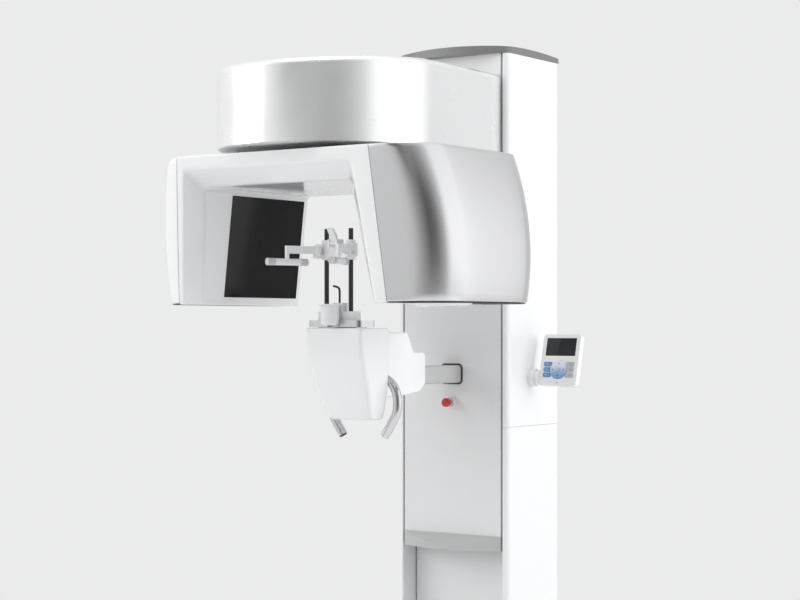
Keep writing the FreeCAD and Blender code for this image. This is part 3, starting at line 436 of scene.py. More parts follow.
black_gloss = plastic("black_gloss_window", (0.004, 0.004, 0.005), 0.12, grain=0.000002, ior=1.3)
black_satin = plastic("black_satin_plastic", (0.02, 0.02, 0.022), 0.42)
seal_dark = plastic("dark_seal_rubber", (0.035, 0.035, 0.037), 0.6)
pad_grey = plastic("grey_pad_rubber", (0.58, 0.58, 0.59), 0.6, grain=0.00006, grain_size=0.0012)
stop_red = plastic("stop_button_red", (0.55, 0.012, 0.018), 0.2, grain=0.000004, coat=0.4)
key_blue = plastic("key_blue", (0.12, 0.30, 0.58), 0.3, grain=0.000006)
key_grey = plastic("key_grey", (0.50, 0.53, 0.57), 0.3, grain=0.000006)
display = plastic("display_glass", (0.008, 0.01, 0.012), 0.12, grain=0.000001)
print("plastics made")

# %% [markdown]
# Two small parts need a finish of their own. The chin cup lets part of the light through, and the blue
# ring key carries a painted highlight: its top is painted white, fading to the blue towards its bottom.

# %% Clear cup and ring key with a painted highlight
def clear_plastic(name, colour):
    """Translucent moulded cup: it lets part of the light through."""
    finish = Finish(name)
    mist = finish.noise(0.01, detail=3.0)
    return finish.close(Base_Color=(*colour, 1.0), Roughness=finish.between(mist, 0.12, 0.28),
                        Alpha=finish.between(mist, 0.84, 0.88), IOR=1.49)


def ring_with_painted_highlight(name, low, high):
    """Blue ring key with a painted highlight: white painted at its top, fading to blue at its bottom."""
    finish = Finish(name)
    height = finish.node("ShaderNodeSeparateXYZ", sockets={0: finish.place}, output=2)
    # painted highlight: the ring is painted white at its top and blue lower down
    fade = finish.node("ShaderNodeMapRange", {"interpolation_type": "SMOOTHSTEP"},
                       {0: height, 1: low.z + 0.006, 2: high.z - 0.004})
    return finish.close(Base_Color=finish.tones(fade, (0.16, 0.34, 0.62, 1.0), (0.78, 0.80, 0.86, 1.0)),
                        Roughness=finish.between(finish.noise(0.01), 0.22, 0.32),
                        Normal=finish.bump(finish.noise(0.0009), 0.000006))


cup_clear = clear_plastic("clear_cup", (0.84, 0.85, 0.86))
key_ring = ring_with_painted_highlight("ring_key_painted_highlight", *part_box("ring_key"))
print("clear and fading finishes made")

# %% [markdown]
# ## Dressing the CAD pieces
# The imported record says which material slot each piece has. A piece whose CAD shape is right keeps its
# mesh and only gets the finish made for that slot.

# %% Finishes on the CAD pieces
FINISHES = {
    "white_gloss": white_gloss, "white_enamel": white_enamel, "panel_grey": panel_grey,
    "cap_grey": cap_grey, "brushed_cover": brushed_cover, "polished_steel": polished_steel,
    "brushed_plate": brushed_plate,
    "machined": machined, "dark_steel": dark_steel, "black_gloss": black_gloss, "black_satin": black_satin,
    "head_white": head_white, "cup_clear": cup_clear, "pad_grey": pad_grey, "seal_dark": seal_dark,
    "stop_red": stop_red, "key_blue": key_blue, "key_grey": key_grey, "key_ring": key_ring, "screen": display,
    "base_grey": base_grey,
}
OWN_FINISH = {"bottom_tray": ledge_grey, "arm_shell": pearl_white, "support_bar": ledge_grey}


def dress(node, material):
    """Gives a CAD node one material on all its faces."""
    holder = nodes[node]
    holder.data.materials.clear()
    holder.data.materials.append(material)


for row in frame["record"]["subparts"]:
    dress(row["node"], OWN_FINISH.get(row["node"], FINISHES[row["material_slot"]]))
print("dressed", len(nodes), "CAD pieces")

# %% [markdown]
# ## Tools for smooth shells
# The big covers are lofts: one outline is drawn at many places along a path and neighbours are joined
# with quads. Corners are turned into short curves first, because real mouldings have no sharp edges and
# it is the small highlights on those curves that make a render believable.

# %% Loft and corner tools
def rounded_corners(points, radii, steps=4):
    """A closed outline whose corners are turned into short curves; radius 0 keeps a point."""
    made = []
    for index, (corner, radius) in enumerate(zip(points, radii)):
        if not radius:
            made.append(corner)
            continue
        before = points[index - 1] - corner
        after = points[(index + 1) % len(points)] - corner
        start = corner + before.normalized() * min(radius, before.length * 0.49)
        end = corner + after.normalized() * min(radius, after.length * 0.49)
        for step in range(steps + 1):
            t = step / steps
            made.append(start * (1 - t) ** 2 + corner * (2 * t * (1 - t)) + end * t ** 2)
    return made


def loft_tool(rings):
    """A closed bmesh through rings that all have the same number of points."""
    tool = bmesh.new()
    rows = [[tool.verts.new(point) for point in ring] for ring in rings]
    for low, high in zip(rows, rows[1:]):
        for index in range(len(low)):
            following = (index + 1) % len(low)
            tool.faces.new((low[index], low[following], high[following], high[index]))
    tool.faces.new(rows[0][::-1])
    tool.faces.new(rows[-1])
    bmesh.ops.recalc_face_normals(tool, faces=tool.faces)
    return tool


def piece_from(name, tool, material, body, crease=35, replaced=()):
    """Finishes a mesh: smooth faces with sharp creases, a material, and the body that it rides on."""
    piece = object_from(name, tool)
    piece.data.set_sharp_from_angle(angle=math.radians(crease))
    piece.data.materials.append(material)
    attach(piece, body)
    if replaced:
        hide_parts(*replaced)
    return piece


print("loft tools ready")

# %% [markdown]
# ## The gantry's form
# Seen from above the gantry is a rectangle with very round corners. It leans back towards its foot and
# bulges at about a third of its height. Two numbers for the two sides and one for the front describe
# all of it, so the white body and both outer covers can share them.

# %% The gantry's form
GANTRY_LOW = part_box("gantry_shell")[0].z
GANTRY_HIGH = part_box("gantry_shell")[1].z
GANTRY_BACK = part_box("gantry_shell")[1].y
CORNER = 0.095
CEILING = 1.779
PARTING = {-1: (0.306, 0.282), 1: (0.293, 0.268)}    # side: (at the foot, at the top)
WIDTHS = {-1: (0.363, 0.028), 1: (0.404, 0.046)}     # side: (least half width, how far it bulges)
BULGE_AT = 0.32
SIDE_BOW = 0.005
SEAM_HALF = 0.0009


def rise(z):
    """Share of the gantry's height, 0 at its foot and 1 at its top."""
    return (z - GANTRY_LOW) / (GANTRY_HIGH - GANTRY_LOW)


def half_width(side, z):
    """Distance of the gantry's side from its middle, at a height."""
    bow = 1 - ((rise(z) - BULGE_AT) / (1 - BULGE_AT)) ** 2
    least, bulge = WIDTHS[1 if side > 0 else -1]
    return least + bulge * bow


def front_plane(z):
    return -0.702 - 0.036 * rise(z)


def front_at(x, z):
    """The gantry's front surface, which turns away near its round corners."""
    over = max(0.0, abs(x) - (half_width(x, z) - CORNER))
    return front_plane(z) + CORNER - math.sqrt(CORNER ** 2 - over ** 2)


def parting(side, z):
    """Distance of the line between the white body and an outer cover from the middle."""
    low, high = PARTING[side]
    return low + (high - low) * rise(z)


print("gantry from", round(GANTRY_LOW, 3), "to", round(GANTRY_HIGH, 3), "m")

# %% [markdown]
# ### The white body
# The white body is one moulding: a beam and two inner faces, with a wide soft bevel round the opening.
# It is swept like a picture frame. The section has seven corners, and each corner follows its own line
# down the left leg, across the beam and down the right leg, so the mitres come out by themselves.

# %% The white gantry body
WINDOW_LOW, WINDOW_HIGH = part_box("sensor_window")
WINDOW_GAP = 0.0003
BEVEL_DEPTH = 0.050
BEVEL_TOP = CEILING + 0.040
WINDOW_SUNK = 0.0036
OUTER_LINE = [(side * (parting(side, z) - SEAM_HALF), z) for side, z in
              ((-1, GANTRY_LOW), (-1, GANTRY_HIGH), (1, GANTRY_HIGH), (1, GANTRY_LOW))]
BEVEL_LINE = [(-0.291, GANTRY_LOW), (-0.264, BEVEL_TOP), (0.219, BEVEL_TOP), (0.261, GANTRY_LOW)]
INNER_LINE = [(-0.275, GANTRY_LOW), (-0.244, CEILING), (0.178, CEILING), (0.222, GANTRY_LOW)]


def frame_stations():
    """Places along the frame: leg number and share of it, or corner number and share of its turn."""
    leg_height = CEILING - GANTRY_LOW
    glass_low = (WINDOW_LOW.z - WINDOW_GAP - GANTRY_LOW) / leg_height
    glass_high = (WINDOW_HIGH.z + WINDOW_GAP - GANTRY_LOW) / leg_height
    shares = [glass_low + (glass_high - glass_low) * step / 8 for step in range(9)]
    left = [("leg", 0, share) for share in [0.0] + shares]
    top = [("leg", 1, 0.06 + 0.88 * step / 8) for step in range(9)]
    right = [("leg", 2, 0.06 + 0.94 * step / 8) for step in range(9)]
    turns = [[("turn", corner, step / 6) for step in range(7)] for corner in (1, 2)]
    return left + turns[0] + top + turns[1] + right


def line_point(line, radius, station):
    """The place of one section corner at a station, with the frame's own corners rounded."""
    kind, number, share = station
    keys = [Vector((x, 0, z)) for x, z in line]
    if kind == "leg":
        return keys[number].lerp(keys[number + 1], share)
    corner = keys[number]
    start = corner + (keys[number - 1] - corner).normalized() * radius
    end = corner + (keys[number + 1] - corner).normalized() * radius
    return start * (1 - share) ** 2 + corner * (2 * share * (1 - share)) + end * share ** 2


def frame_section(station):
    """The closed section of the white body at a station."""
    outer = line_point(OUTER_LINE, 0.0015, station)
    bevel = line_point(BEVEL_LINE, 0.013, station)
    inner = line_point(INNER_LINE, 0.011, station)
    depths = [(outer, GANTRY_BACK), (outer, front_at(outer.x, outer.z)), (bevel, front_at(bevel.x, bevel.z)),
              (inner, front_at(inner.x, inner.z) + BEVEL_DEPTH), (inner, WINDOW_LOW.y - WINDOW_GAP),
              (inner, WINDOW_HIGH.y + WINDOW_GAP), (inner, GANTRY_BACK)]
    kind, number, turned_by = station
    if kind == "leg":
        share = 1.0 if number == 1 else 0.0
    else:
        share = turned_by if number == 1 else 1 - turned_by
    edge = 0.0008 + 0.0022 * share    # sharper beside the legs than under the arm
    corners = [Vector((place.x, y, place.z)) for place, y in depths]
    return rounded_corners(corners, [0.002, edge, 0.008, 0.009, 0, 0, 0.004], steps=5)


stations = frame_stations()
body_tool = loft_tool([frame_section(station) for station in stations])
body_tool.faces.ensure_lookup_table()
glass_faces = [face for face in body_tool.faces
               if face.calc_center_median().x < -0.23 and face.normal.x > 0.9
               and WINDOW_LOW.y < face.calc_center_median().y < WINDOW_HIGH.y
               and WINDOW_LOW.z < face.calc_center_median().z < WINDOW_HIGH.z]
sunk = bmesh.ops.extrude_face_region(body_tool, geom=glass_faces)
bmesh.ops.delete(body_tool, geom=glass_faces, context="FACES")
bmesh.ops.translate(body_tool, verts=[v for v in sunk["geom"] if isinstance(v, bmesh.types.BMVert)],
                    vec=(-WINDOW_SUNK, 0, 0))
foot_edges = [edge for edge in body_tool.edges
              if all(v.co.z < GANTRY_LOW + 0.0002 for v in edge.verts) and len(edge.link_faces) == 2]
bmesh.ops.bevel(body_tool, geom=foot_edges, offset=0.004, segments=3, profile=0.5, affect="EDGES")
bmesh.ops.recalc_face_normals(body_tool, faces=body_tool.faces)
gantry_body = piece_from("gantry_body", body_tool, white_gloss, "gantry", replaced=["gantry_shell"])
print("gantry body:", len(gantry_body.data.polygons), "faces,", len(glass_faces), "sunk for the window")

# %% [markdown]
# ### The outer covers
# Each outer cover is a stack of half outlines of the gantry. The stack follows the bulge, so the brushed
# steel of the source side reflects a long curved band. The edge at the top is small there, and grows to
# a big round shoulder on the white sensor side. A thin dark seal closes the foot of each cover.

# %% The outer covers
def cover_outline(side, z, inset=0.0):
    """Half outline of the gantry on one side, from the front parting line round to the back one."""
    half = half_width(side, z)
    start = parting(side, z) + SEAM_HALF
    straight = half - CORNER
    radius = CORNER - inset
    first = math.asin(min(1.0, max(0.0, start - straight) / CORNER))
    skip = 1 if start > straight else 0
    places = [(start, front_at(side * start, z) + inset)]
    for step in range(skip, 15):
        turn = first + (math.pi / 2 - first) * step / 14
        places.append((straight + radius * math.sin(turn), front_plane(z) + CORNER - radius * math.cos(turn)))
    side_front, side_back = front_plane(z) + CORNER, GANTRY_BACK - CORNER
    for step in range(1, 6):
        share = step / 6
        places.append((half - inset, side_front * (1 - share) + side_back * share))
    middle = (front_plane(z) + GANTRY_BACK) / 2
    reach = GANTRY_BACK - middle
    for step in range(0, 15 - skip):
        turn = (math.pi / 2 - first) * step / 14
        places.append((straight + radius * math.cos(turn), GANTRY_BACK - CORNER + radius * math.sin(turn)))
    places.append((start, GANTRY_BACK - inset))
    bowed = [(x - SIDE_BOW * ((y - middle) / reach) ** 2 * (x - start) / (half - start), y)
             for x, y in places]
    return [Vector((side * x, y, z)) for x, y in bowed]


def shoulder(side, index, count):
    """Radius of the top edge at one point of the outline."""
    if side > 0:
        return 0.0025
    away = math.sin(math.pi * index / (count - 1))
    return 0.0055 + 0.0165 * min(1.0, away * 1.4)


def cover_rings(side, low, foot):
    """Rings of a cover from its rounded foot to its rounded top edge."""
    rings = []
    for step in range(4):
        turn = math.pi / 2 * step / 4
        rings.append(cover_outline(side, low + foot * (1 - math.cos(turn)), foot * (1 - math.sin(turn))))
    top = GANTRY_HIGH - 0.024
    for step in range(21):
        rings.append(cover_outline(side, low + foot + (top - low - foot) * step / 20))
    count = len(rings[0])
    for step in range(1, 9):
        ring = []
        turn = math.pi / 2 * (step - 2) / 6
        for index in range(count):
            radius = shoulder(side, index, count)
            base = GANTRY_HIGH - radius
            if step < 3:
                z, inset = top + (base - top) * min(1.0, step / 3), 0
            else:
                z, inset = base + radius * math.sin(turn), radius * (1 - math.cos(turn))
            ring.append(cover_outline(side, z, inset)[index])
        rings.append(ring)
    return rings


LIP_HEIGHT = 0.002
for side, word, slot_name in ((1, "source", "brushed_cover"), (-1, "sensor", "white_gloss")):
    rings = cover_rings(side, GANTRY_LOW + LIP_HEIGHT + 0.0012, 0.002)
    cover = piece_from(f"{word}_cover", loft_tool(rings), FINISHES[slot_name], "gantry",
                       replaced=[f"{word}_outer_cover"])
    lip_rings = [cover_outline(side, GANTRY_LOW + height, inset) for height, inset in
                 ((0.0, 0.005), (0.0008, 0.0035), (LIP_HEIGHT, 0.003))]
    lip = piece_from(f"{word}_lip", loft_tool(lip_rings), seal_dark, "gantry")
    print(word, "cover:", len(cover.data.polygons), "faces and lip:", len(lip.data.polygons))

# %% [markdown]
# Under the source head is a shallow round boss. A boss is a shape of revolution, so its outline is spun
# round an upright axis.

# %% The boss under the source head
def turned(name, profile, centre, material, body, segments=64):
    """Spins a list of (radius, height) pairs round an upright axis through the centre."""
    rings = [[Vector((centre[0] + radius * math.cos(2 * math.pi * step / segments),
                      centre[1] + radius * math.sin(2 * math.pi * step / segments), height))
              for step in range(segments)] for radius, height in profile]
    return piece_from(name, loft_tool(rings), material, body)


BOSS_RADIUS = 0.069
BOSS_DEPTH = 0.010
BOSS_CENTRE = (0.345, -0.565)
DOME_TOP = GANTRY_LOW - 0.002
boss_profile = [(BOSS_RADIUS, GANTRY_LOW + 0.004), (BOSS_RADIUS, GANTRY_LOW - 0.0005), (0.0675, DOME_TOP)]
boss_profile += [(0.066 * math.cos(turn), DOME_TOP - (BOSS_DEPTH - 0.002) * math.sin(turn))
                 for turn in [math.radians(angle) for angle in (10, 22, 36, 52, 70, 86)]]
turned("source_boss", boss_profile, BOSS_CENTRE, white_gloss, "gantry")
print("boss", BOSS_DEPTH * 1000, "mm deep")

# %% [markdown]
# ## The chin rest's shield
# The shield is a tapering shell whose front leans back towards the patient's chest. A few measured
# levels are joined by a smooth curve, and the front is crowned by 3 mm so that it never looks flat.

# %% The shield
# Each level is a height, a half width and the place of the front.
SHIELD_LEVELS = [(1.450, 0.082, -0.511), (1.391, 0.082, -0.506), (1.347, 0.081, -0.494),
                 (1.300, 0.078, -0.475), (1.258, 0.071, -0.456), (1.232, 0.064, -0.443)]
SHIELD_TOP, SHIELD_FOOT = SHIELD_LEVELS[0][0], SHIELD_LEVELS[-1][0]
SHIELD_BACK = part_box("chin_rest_body")[1].y
FOOT_ROUND, TOP_ROUND = 0.007, 0.003


def smooth_level(z):
    """Half width and front of the shield at a height, on a smooth curve through the levels."""
    for index, (high, low) in enumerate(zip(SHIELD_LEVELS, SHIELD_LEVELS[1:])):
        if z >= low[0] - 1e-9:
            break
    before = SHIELD_LEVELS[max(index - 1, 0)]
    after = SHIELD_LEVELS[min(index + 2, len(SHIELD_LEVELS) - 1)]
    span = low[0] - high[0]
    t = (z - high[0]) / span
    values = []
    for axis in (1, 2):
        leaving = (low[axis] - before[axis]) / (low[0] - before[0]) * span
        arriving = (after[axis] - high[axis]) / (after[0] - high[0]) * span
        values.append((2 * t ** 3 - 3 * t ** 2 + 1) * high[axis] + (t ** 3 - 2 * t ** 2 + t) * leaving
                      + (3 * t ** 2 - 2 * t ** 3) * low[axis] + (t ** 3 - t ** 2) * arriving)
    return values


def shield_ring(z, inset):
    """The shield's outline at a height, drawn in by the inset."""
    half, front = smooth_level(min(max(z, SHIELD_FOOT), SHIELD_TOP))
    half, front, back = half - inset, front + inset, SHIELD_BACK - inset * 0.5
    corners = [(-half, back), (-half, front + 0.003), (-half * 0.5, front + 0.0008), (0, front),
               (half * 0.5, front + 0.0008), (half, front + 0.003), (half, back)]
    return rounded_corners([Vector((x, y, z)) for x, y in corners],
                           [0.003, 0.013, 0, 0, 0, 0.013, 0.003], steps=6)


flat_low, flat_high = SHIELD_FOOT + FOOT_ROUND, SHIELD_TOP - TOP_ROUND
shield_rings = [shield_ring(SHIELD_FOOT + FOOT_ROUND * (1 - math.cos(turn)),
                            FOOT_ROUND * (1 - math.sin(turn)))
                for turn in [math.pi / 2 * step / 4 for step in range(4)]]
shield_rings += [shield_ring(flat_low + (flat_high - flat_low) * step / 26, 0) for step in range(27)]
shield_rings += [shield_ring(flat_high + TOP_ROUND * math.sin(turn), TOP_ROUND * (1 - math.cos(turn)))
                 for turn in [math.pi / 2 * step / 4 for step in range(1, 5)]]
shield = piece_from("chin_rest_shield", loft_tool(shield_rings), white_gloss, "column",
                    replaced=["chin_rest_body"])
print("shield:", len(shield.data.polygons), "faces")

# %% [markdown]
# ## Repeating with Geometry Nodes
# Tubes, screws and louvres follow rules, so they are made by small node trees. `Recipe` builds such a tree
# from Python: its inputs have names, and the values go in before the tree is first worked out. The
# result is turned into a plain mesh, which is then an ordinary piece.

# %% The recipe helper
class Recipe(Shader):
    """A Geometry Nodes tree with named inputs that is applied to a mesh at once."""

    def __init__(self, name, inputs):
        self.tree = bpy.data.node_groups.new(name, "GeometryNodeTree")
        self.tree.interface.new_socket("Geometry", in_out="INPUT", socket_type="NodeSocketGeometry")
        self.ids = {word: self.tree.interface.new_socket(word, in_out="INPUT", socket_type=kind).identifier
                    for word, kind in inputs.items()}
        self.tree.interface.new_socket("Geometry", in_out="OUTPUT", socket_type="NodeSocketGeometry")
        self.source = self.tree.nodes.new("NodeGroupInput")

    def given(self, word):
        return Signal(self, self.source.outputs[word])

    def finish(self, geometry):
        real = self.node("GeometryNodeRealizeInstances", sockets={"Geometry": geometry})
        painted = self.node("GeometryNodeSetMaterial",
                            sockets={"Geometry": real, "Material": self.given("Material")})
        self.node("NodeGroupOutput", sockets={"Geometry": painted})

    def apply(self, name, start, values, body, crease=35, replaced=()):
        """Runs the recipe on the mesh of `start` and returns the piece that it made."""
        modifier = start.modifiers.new(name, "NODES")
        modifier.node_group = self.tree
        for word, value in values.items():
            modifier[self.ids[word]] = value
        bpy.context.view_layer.update()
        ready = start.evaluated_get(bpy.context.evaluated_depsgraph_get())
        mesh = bpy.data.meshes.new_from_object(ready)
        bpy.data.objects.remove(start)
        mesh.shade_smooth()
        mesh.set_sharp_from_angle(angle=math.radians(crease))
        piece = bpy.data.objects.new(name, mesh)
        bpy.context.scene.collection.objects.link(piece)
        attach(piece, body)
        if replaced:
            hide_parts(*replaced)
        return piece


def points_object(name, points, chained=False):
    """Loose points, or a chain of edges when a path is needed."""
    tool = bmesh.new()
    made = [tool.verts.new(point) for point in points]
    if chained:
        for first, second in zip(made, made[1:]):
            tool.edges.new((first, second))
    return object_from(name, tool, smooth=False)


print("recipe helper ready")

# %% [markdown]
# ### The grab handles
# Each handle is one bent steel tube. The recipe sweeps a circle along a smooth path, and then sinks the
# end faces, so that one looks into a real tube with a wall of a millimetre and a half.

# %% The grab handles
HANDLE_Y = -0.384
HANDLE_PATH = [(0.064, 1.330), (0.084, 1.316), (0.097, 1.290), (0.097, 1.252), (0.080, 1.220), (0.061, 1.192)]
TUBE_RADIUS = 0.011
BORE_SHARE = 0.86
BORE_DEPTH = 0.012


def smooth_path(points, steps=9):
    """A Catmull-Rom curve through the points."""
    padded = [points[0] * 2 - points[1]] + points + [points[-1] * 2 - points[-2]]
    path = []
    for a, b, c, d in zip(padded, padded[1:], padded[2:], padded[3:]):
        for step in range(steps):
            t = step / steps
            path.append((b * 2 + (c - a) * t + (a * 2 - b * 5 + c * 4 - d) * t ** 2
                         + (b * 3 - a - c * 3 + d) * t ** 3) * 0.5)
    return path + [points[-1]]


tube = Recipe("bent_tube", {"Radius": "NodeSocketFloat", "Wall Share": "NodeSocketFloat",
                            "Depth": "NodeSocketFloat", "Material": "NodeSocketMaterial"})
path_curve = tube.node("GeometryNodeMeshToCurve", sockets={0: tube.given("Geometry")})
circle = tube.node("GeometryNodeCurvePrimitiveCircle",
                   sockets={"Resolution": 28, "Radius": tube.given("Radius")})
swept = tube.node("GeometryNodeCurveToMesh",
                  sockets={"Curve": path_curve, "Profile Curve": circle, "Fill Caps": True})
face_area = tube.node("GeometryNodeInputMeshFaceArea")
big_face = face_area.math("GREATER_THAN", face_area, 0.0001)    # only the two caps are as big as this
rim = tube.node("GeometryNodeExtrudeMesh", sockets={"Mesh": swept, "Selection": big_face, "Offset Scale": 0.0,
                                                    "Individual": True})
rim_top = Signal(tube, rim.socket.node.outputs["Top"])
narrow = tube.node("GeometryNodeScaleElements", sockets={"Geometry": rim, "Selection": rim_top,
                                                         "Scale": tube.given("Wall Share")})
deep = tube.node("GeometryNodeExtrudeMesh", sockets={"Mesh": narrow, "Selection": rim_top,
                                                     "Offset Scale": tube.given("Depth"), "Individual": True})
tube.finish(deep)
for side, word in ((-1, "left"), (1, "right")):
    path = smooth_path([Vector((side * x, HANDLE_Y, z)) for x, z in HANDLE_PATH])
    handle = tube.apply(f"handle_{word}", points_object("path", path, chained=True),
                        {"Radius": TUBE_RADIUS, "Wall Share": BORE_SHARE, "Depth": -BORE_DEPTH,
                         "Material": polished_steel}, "column", replaced=["handles"])
    print(handle.name, "has", len(handle.data.polygons), "faces")

# %% [markdown]
# ### Screws and louvres
# One recipe puts a copy of a small part on every point and may turn each copy a little. Screws are never
# driven home at the same angle, so a fixed seed turns their sockets about. The rear cover and the arm's
# floor are the panels that a fitter takes off.

# %% The copying recipe
def axis_turn(axis):
    """A matrix that stands a part made along +Z on another axis."""
    degrees = {"Y": -90, "-Z": 180}[axis]
    return Matrix.Rotation(math.radians(degrees), 3, "X")


def screw_head(axis, radius=0.0035):
    """A low button head with a six-sided socket."""
    rings = []
    for share, height, sides in ((1.0, 0.0, 24), (1.0, 0.0006, 24), (0.86, 0.0013, 24),
                                 (0.6, 0.0017, 24), (0.46, 0.0017, 6), (0.44, 0.0005, 6)):
        ring = []
        for step in range(24):
            turn = 2 * math.pi * step / 24
            flat = 1.0
            if sides == 6:
                flat = math.cos(math.pi / 6) / math.cos((turn % (math.pi / 3)) - math.pi / 6)
            reach = radius * share * flat
            ring.append(axis_turn(axis) @ Vector((reach * math.cos(turn), reach * math.sin(turn), height)))
        rings.append(ring)
    return object_from("screw_template", loft_tool(rings))


def louvre(width=0.052, height=0.0042, proud=0.0022):
    """One pressed louvre that opens downwards, for a wall that faces +Y."""
    outline = [(0, -0.5), (0.75, -0.48), (1.0, -0.25), (0.8, 0.15), (0.35, 0.42), (0, 0.5)]
    rings = []
    for step in range(9):
        x = width * (step / 8 - 0.5)
        swell = math.sqrt(max(0.0, 1 - (2 * x / width) ** 2)) * 0.9 + 0.1
        rings.append([Vector((x, y * proud * swell, z * height * (0.5 + swell / 2))) for y, z in outline])
    return object_from("louvre_template", loft_tool(rings))


copies = Recipe("place_copies", {"Copy": "NodeSocketObject", "Turn": "NodeSocketVector",
                                 "Seed": "NodeSocketInt", "Material": "NodeSocketMaterial"})
copy_mesh = copies.node("GeometryNodeObjectInfo", sockets={"Object": copies.given("Copy")},
                        output="Geometry")
random_turn = copies.node("FunctionNodeRandomValue", {"data_type": "FLOAT_VECTOR"},
                          {"Max": copies.given("Turn"), "Seed": copies.given("Seed")})
placed = copies.node("GeometryNodeInstanceOnPoints", sockets={"Points": copies.given("Geometry"),
                                                              "Instance": copy_mesh, "Rotation": random_turn})
copies.finish(placed)


def place(name, points, template, turn, material, body):
    """Copies of the template on all the points, as one piece."""
    values = {"Copy": template, "Turn": turn, "Seed": 7, "Material": material}
    piece = copies.apply(name, points_object("points", points), values, body)
    bpy.data.objects.remove(template)
    print(name, "has", len(points), "copies and", len(piece.data.polygons), "faces")
    return piece


REAR_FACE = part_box("rear_cover")[1].y
rear_screws = [Vector((side * 0.126, REAR_FACE, 0.62 + 0.2425 * step)) for side in (-1, 1)
               for step in range(7)]
place("rear_screws", rear_screws, screw_head("Y"), (0, math.pi, 0), dark_steel, "column")
rear_slots = [Vector((x, REAR_FACE, low + 0.011 * step)) for low in (0.70, 1.86) for x in (-0.036, 0.036)
              for step in range(12)]
place("rear_louvres", rear_slots, louvre(), (0, 0, 0), white_enamel, "column")
ARM_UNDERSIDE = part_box("arm_floor")[0].z
SCREW_CIRCLE = 0.215
arm_screws = [Vector((SCREW_CIRCLE * math.sin(turn), ARM_CENTRE_Y - SCREW_CIRCLE * math.cos(turn),
                      ARM_UNDERSIDE))
              for turn in map(math.radians, (-150, -100, -60, -20, 20, 60, 100, 150))]
place("arm_screws", arm_screws, screw_head("-Z"), (0, 0, math.pi), dark_steel, "column")

# %% [markdown]
# ## The console's marks
# The keys carry plain printed marks. They are thin raised shapes, so each one rides on its own key and
# sinks with it. The console leans back, so its shapes are drawn upright and then turned about its hinge.

# %% Printed marks on the keys
CONSOLE_LEAN = Matrix.Rotation(math.radians(-14), 3, "X")
CONSOLE_HINGE = Vector((0, 0.114, 1.323))
CONSOLE_FRONT = 0.105
RING_LOW, RING_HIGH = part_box("ring_key")
CONSOLE_MIDDLE = (RING_LOW.x + RING_HIGH.x) / 2
RING_MIDDLE_Z = 1.343
ARROW_FROM_MIDDLE = 0.0158
KEYS_FROM_MIDDLE = 0.035
LAMP_HEIGHT = 1.3095
LAMP_RADIUS = 0.0022


def leaned(x, y, z):
    """A place on the upright console, leaned back with it."""
    return CONSOLE_HINGE + CONSOLE_LEAN @ (Vector((x, y, z)) - CONSOLE_HINGE)


def raised_mark(name, outline, y, body, material, thick=0.00025):
    """A thin plate with the given (x, z) outline on a console face whose depth is y."""
    rings = [[leaned(x, depth, z) for x, z in outline] for depth in (y + thick, y - thick)]
    return piece_from(name, loft_tool(rings), material, body)


ARROW = [(-0.0022, -0.0014), (0.0022, -0.0014), (0, 0.0018)]
for number, turn in enumerate((0, 90, 180, 270)):
    spin = Matrix.Rotation(math.radians(turn), 2)
    outline = [spin @ (Vector(corner) + Vector((0, ARROW_FROM_MIDDLE))) for corner in ARROW]
    raised_mark(f"ring_arrow_{number + 1}", [(CONSOLE_MIDDLE + x, RING_MIDDLE_Z + z) for x, z in outline],
                CONSOLE_FRONT - 0.0016, "ring_key", seal_dark)

KEY_BAR = [(-0.0032, -0.0005), (0.0032, -0.0005), (0.0032, 0.0005), (-0.0032, 0.0005)]
for side, word in ((-1, "left"), (1, "right")):
    for number, level in enumerate((0.014, 0, -0.014)):
        x_key = CONSOLE_MIDDLE + side * KEYS_FROM_MIDDLE
        material = white_enamel if side < 0 else seal_dark
        bar = [(x_key + x, RING_MIDDLE_Z + level + z) for x, z in KEY_BAR]
        raised_mark(f"{word}_key_mark_{number + 1}", bar, CONSOLE_FRONT - 0.0012,
                    f"{word}_key_{number + 1}", material, 0.0002)

lamp = [(CONSOLE_MIDDLE + LAMP_RADIUS * math.cos(turn), LAMP_HEIGHT + LAMP_RADIUS * math.sin(turn))
        for turn in [2 * math.pi * step / 20 for step in range(20)]]
raised_mark("power_lamp", lamp, CONSOLE_FRONT, "console", key_grey, 0.0003)
print("console marks: 4 arrows, 6 bars and a lamp")

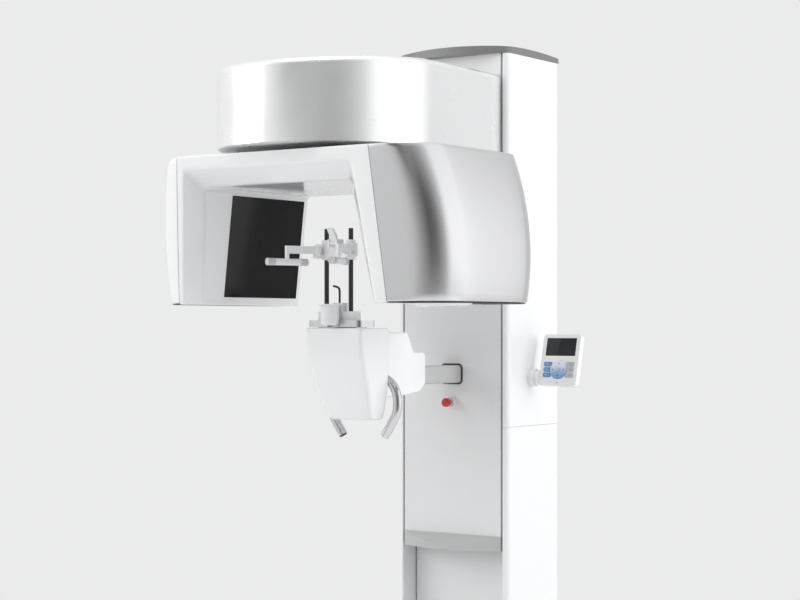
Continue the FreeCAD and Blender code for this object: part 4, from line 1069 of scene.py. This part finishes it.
# %% [markdown]
# ## The emergency stop
# A mushroom button has a ribbed rim, so that a wet or gloved hand can turn it back out after a press. The
# ribs are a small wave in the radius of a turned shape.

# %% The emergency stop
STOP_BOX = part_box("stop_button")
STOP_Z = (STOP_BOX[0].z + STOP_BOX[1].z) / 2
STOP_RADIUS = STOP_BOX[1].x
RIB_COUNT = 20
RIB_SHARE = 0.015
# Each row is a share of the radius, a depth behind the face and how much of the ribs shows.
stop_profile = [(0.10, 0.0, 0), (0.60, 0.0001, 0), (0.80, 0.0008, 0), (0.94, 0.0028, 0.3),
                (0.985, 0.0055, 1), (0.985, 0.0125, 1), (0.93, 0.0152, 0.5), (0.80, 0.0160, 0),
                (0.52, 0.0160, 0), (0.52, 0.0368, 0)]
stop_rings = []
for share, depth, rib in stop_profile:
    ring = []
    for turn in [2 * math.pi * step / 120 for step in range(120)]:
        reach = STOP_RADIUS * share * (1 + RIB_SHARE * rib * math.cos(RIB_COUNT * turn))
        ring.append(Vector((reach * math.cos(turn), STOP_BOX[0].y + depth, STOP_Z + reach * math.sin(turn))))
    stop_rings.append(ring)
stop = piece_from("stop_mushroom", loft_tool(stop_rings), stop_red, "stop_button",
                  replaced=["stop_button"])
print("stop button", round(STOP_RADIUS * 2000, 1), "mm across")

# %% [markdown]
# ## Painted shade under the chin tray
# Three dark bars between the tray and the shield are painted shade: they stand for the shade in the gaps
# there.

# %% Painted shade under the tray
TRAY_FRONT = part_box("chin_tray")[0]
SLOT_FOOT, SLOT_TOP = TRAY_FRONT.z - 0.0012, TRAY_FRONT.z + 0.0014
# dark plates that paint the shade in the gaps under the tray
for number, (low, high) in enumerate(((0.003, 0.021), (0.025, 0.032), (0.040, 0.052))):
    corners = [Vector(spot) for spot in
               ((low, SLOT_FOOT), (high, SLOT_FOOT), (high, SLOT_TOP), (low, SLOT_TOP))]
    outline = rounded_corners(corners, [0.0008] * 4, steps=3)
    rings = [[Vector((spot.x, TRAY_FRONT.y + depth, spot.y)) for spot in outline]
             for depth in (0.006, -0.0012)]
    piece_from(f"tray_slot_{number + 1}", loft_tool(rings), seal_dark, "column")
print("three slots under the tray")
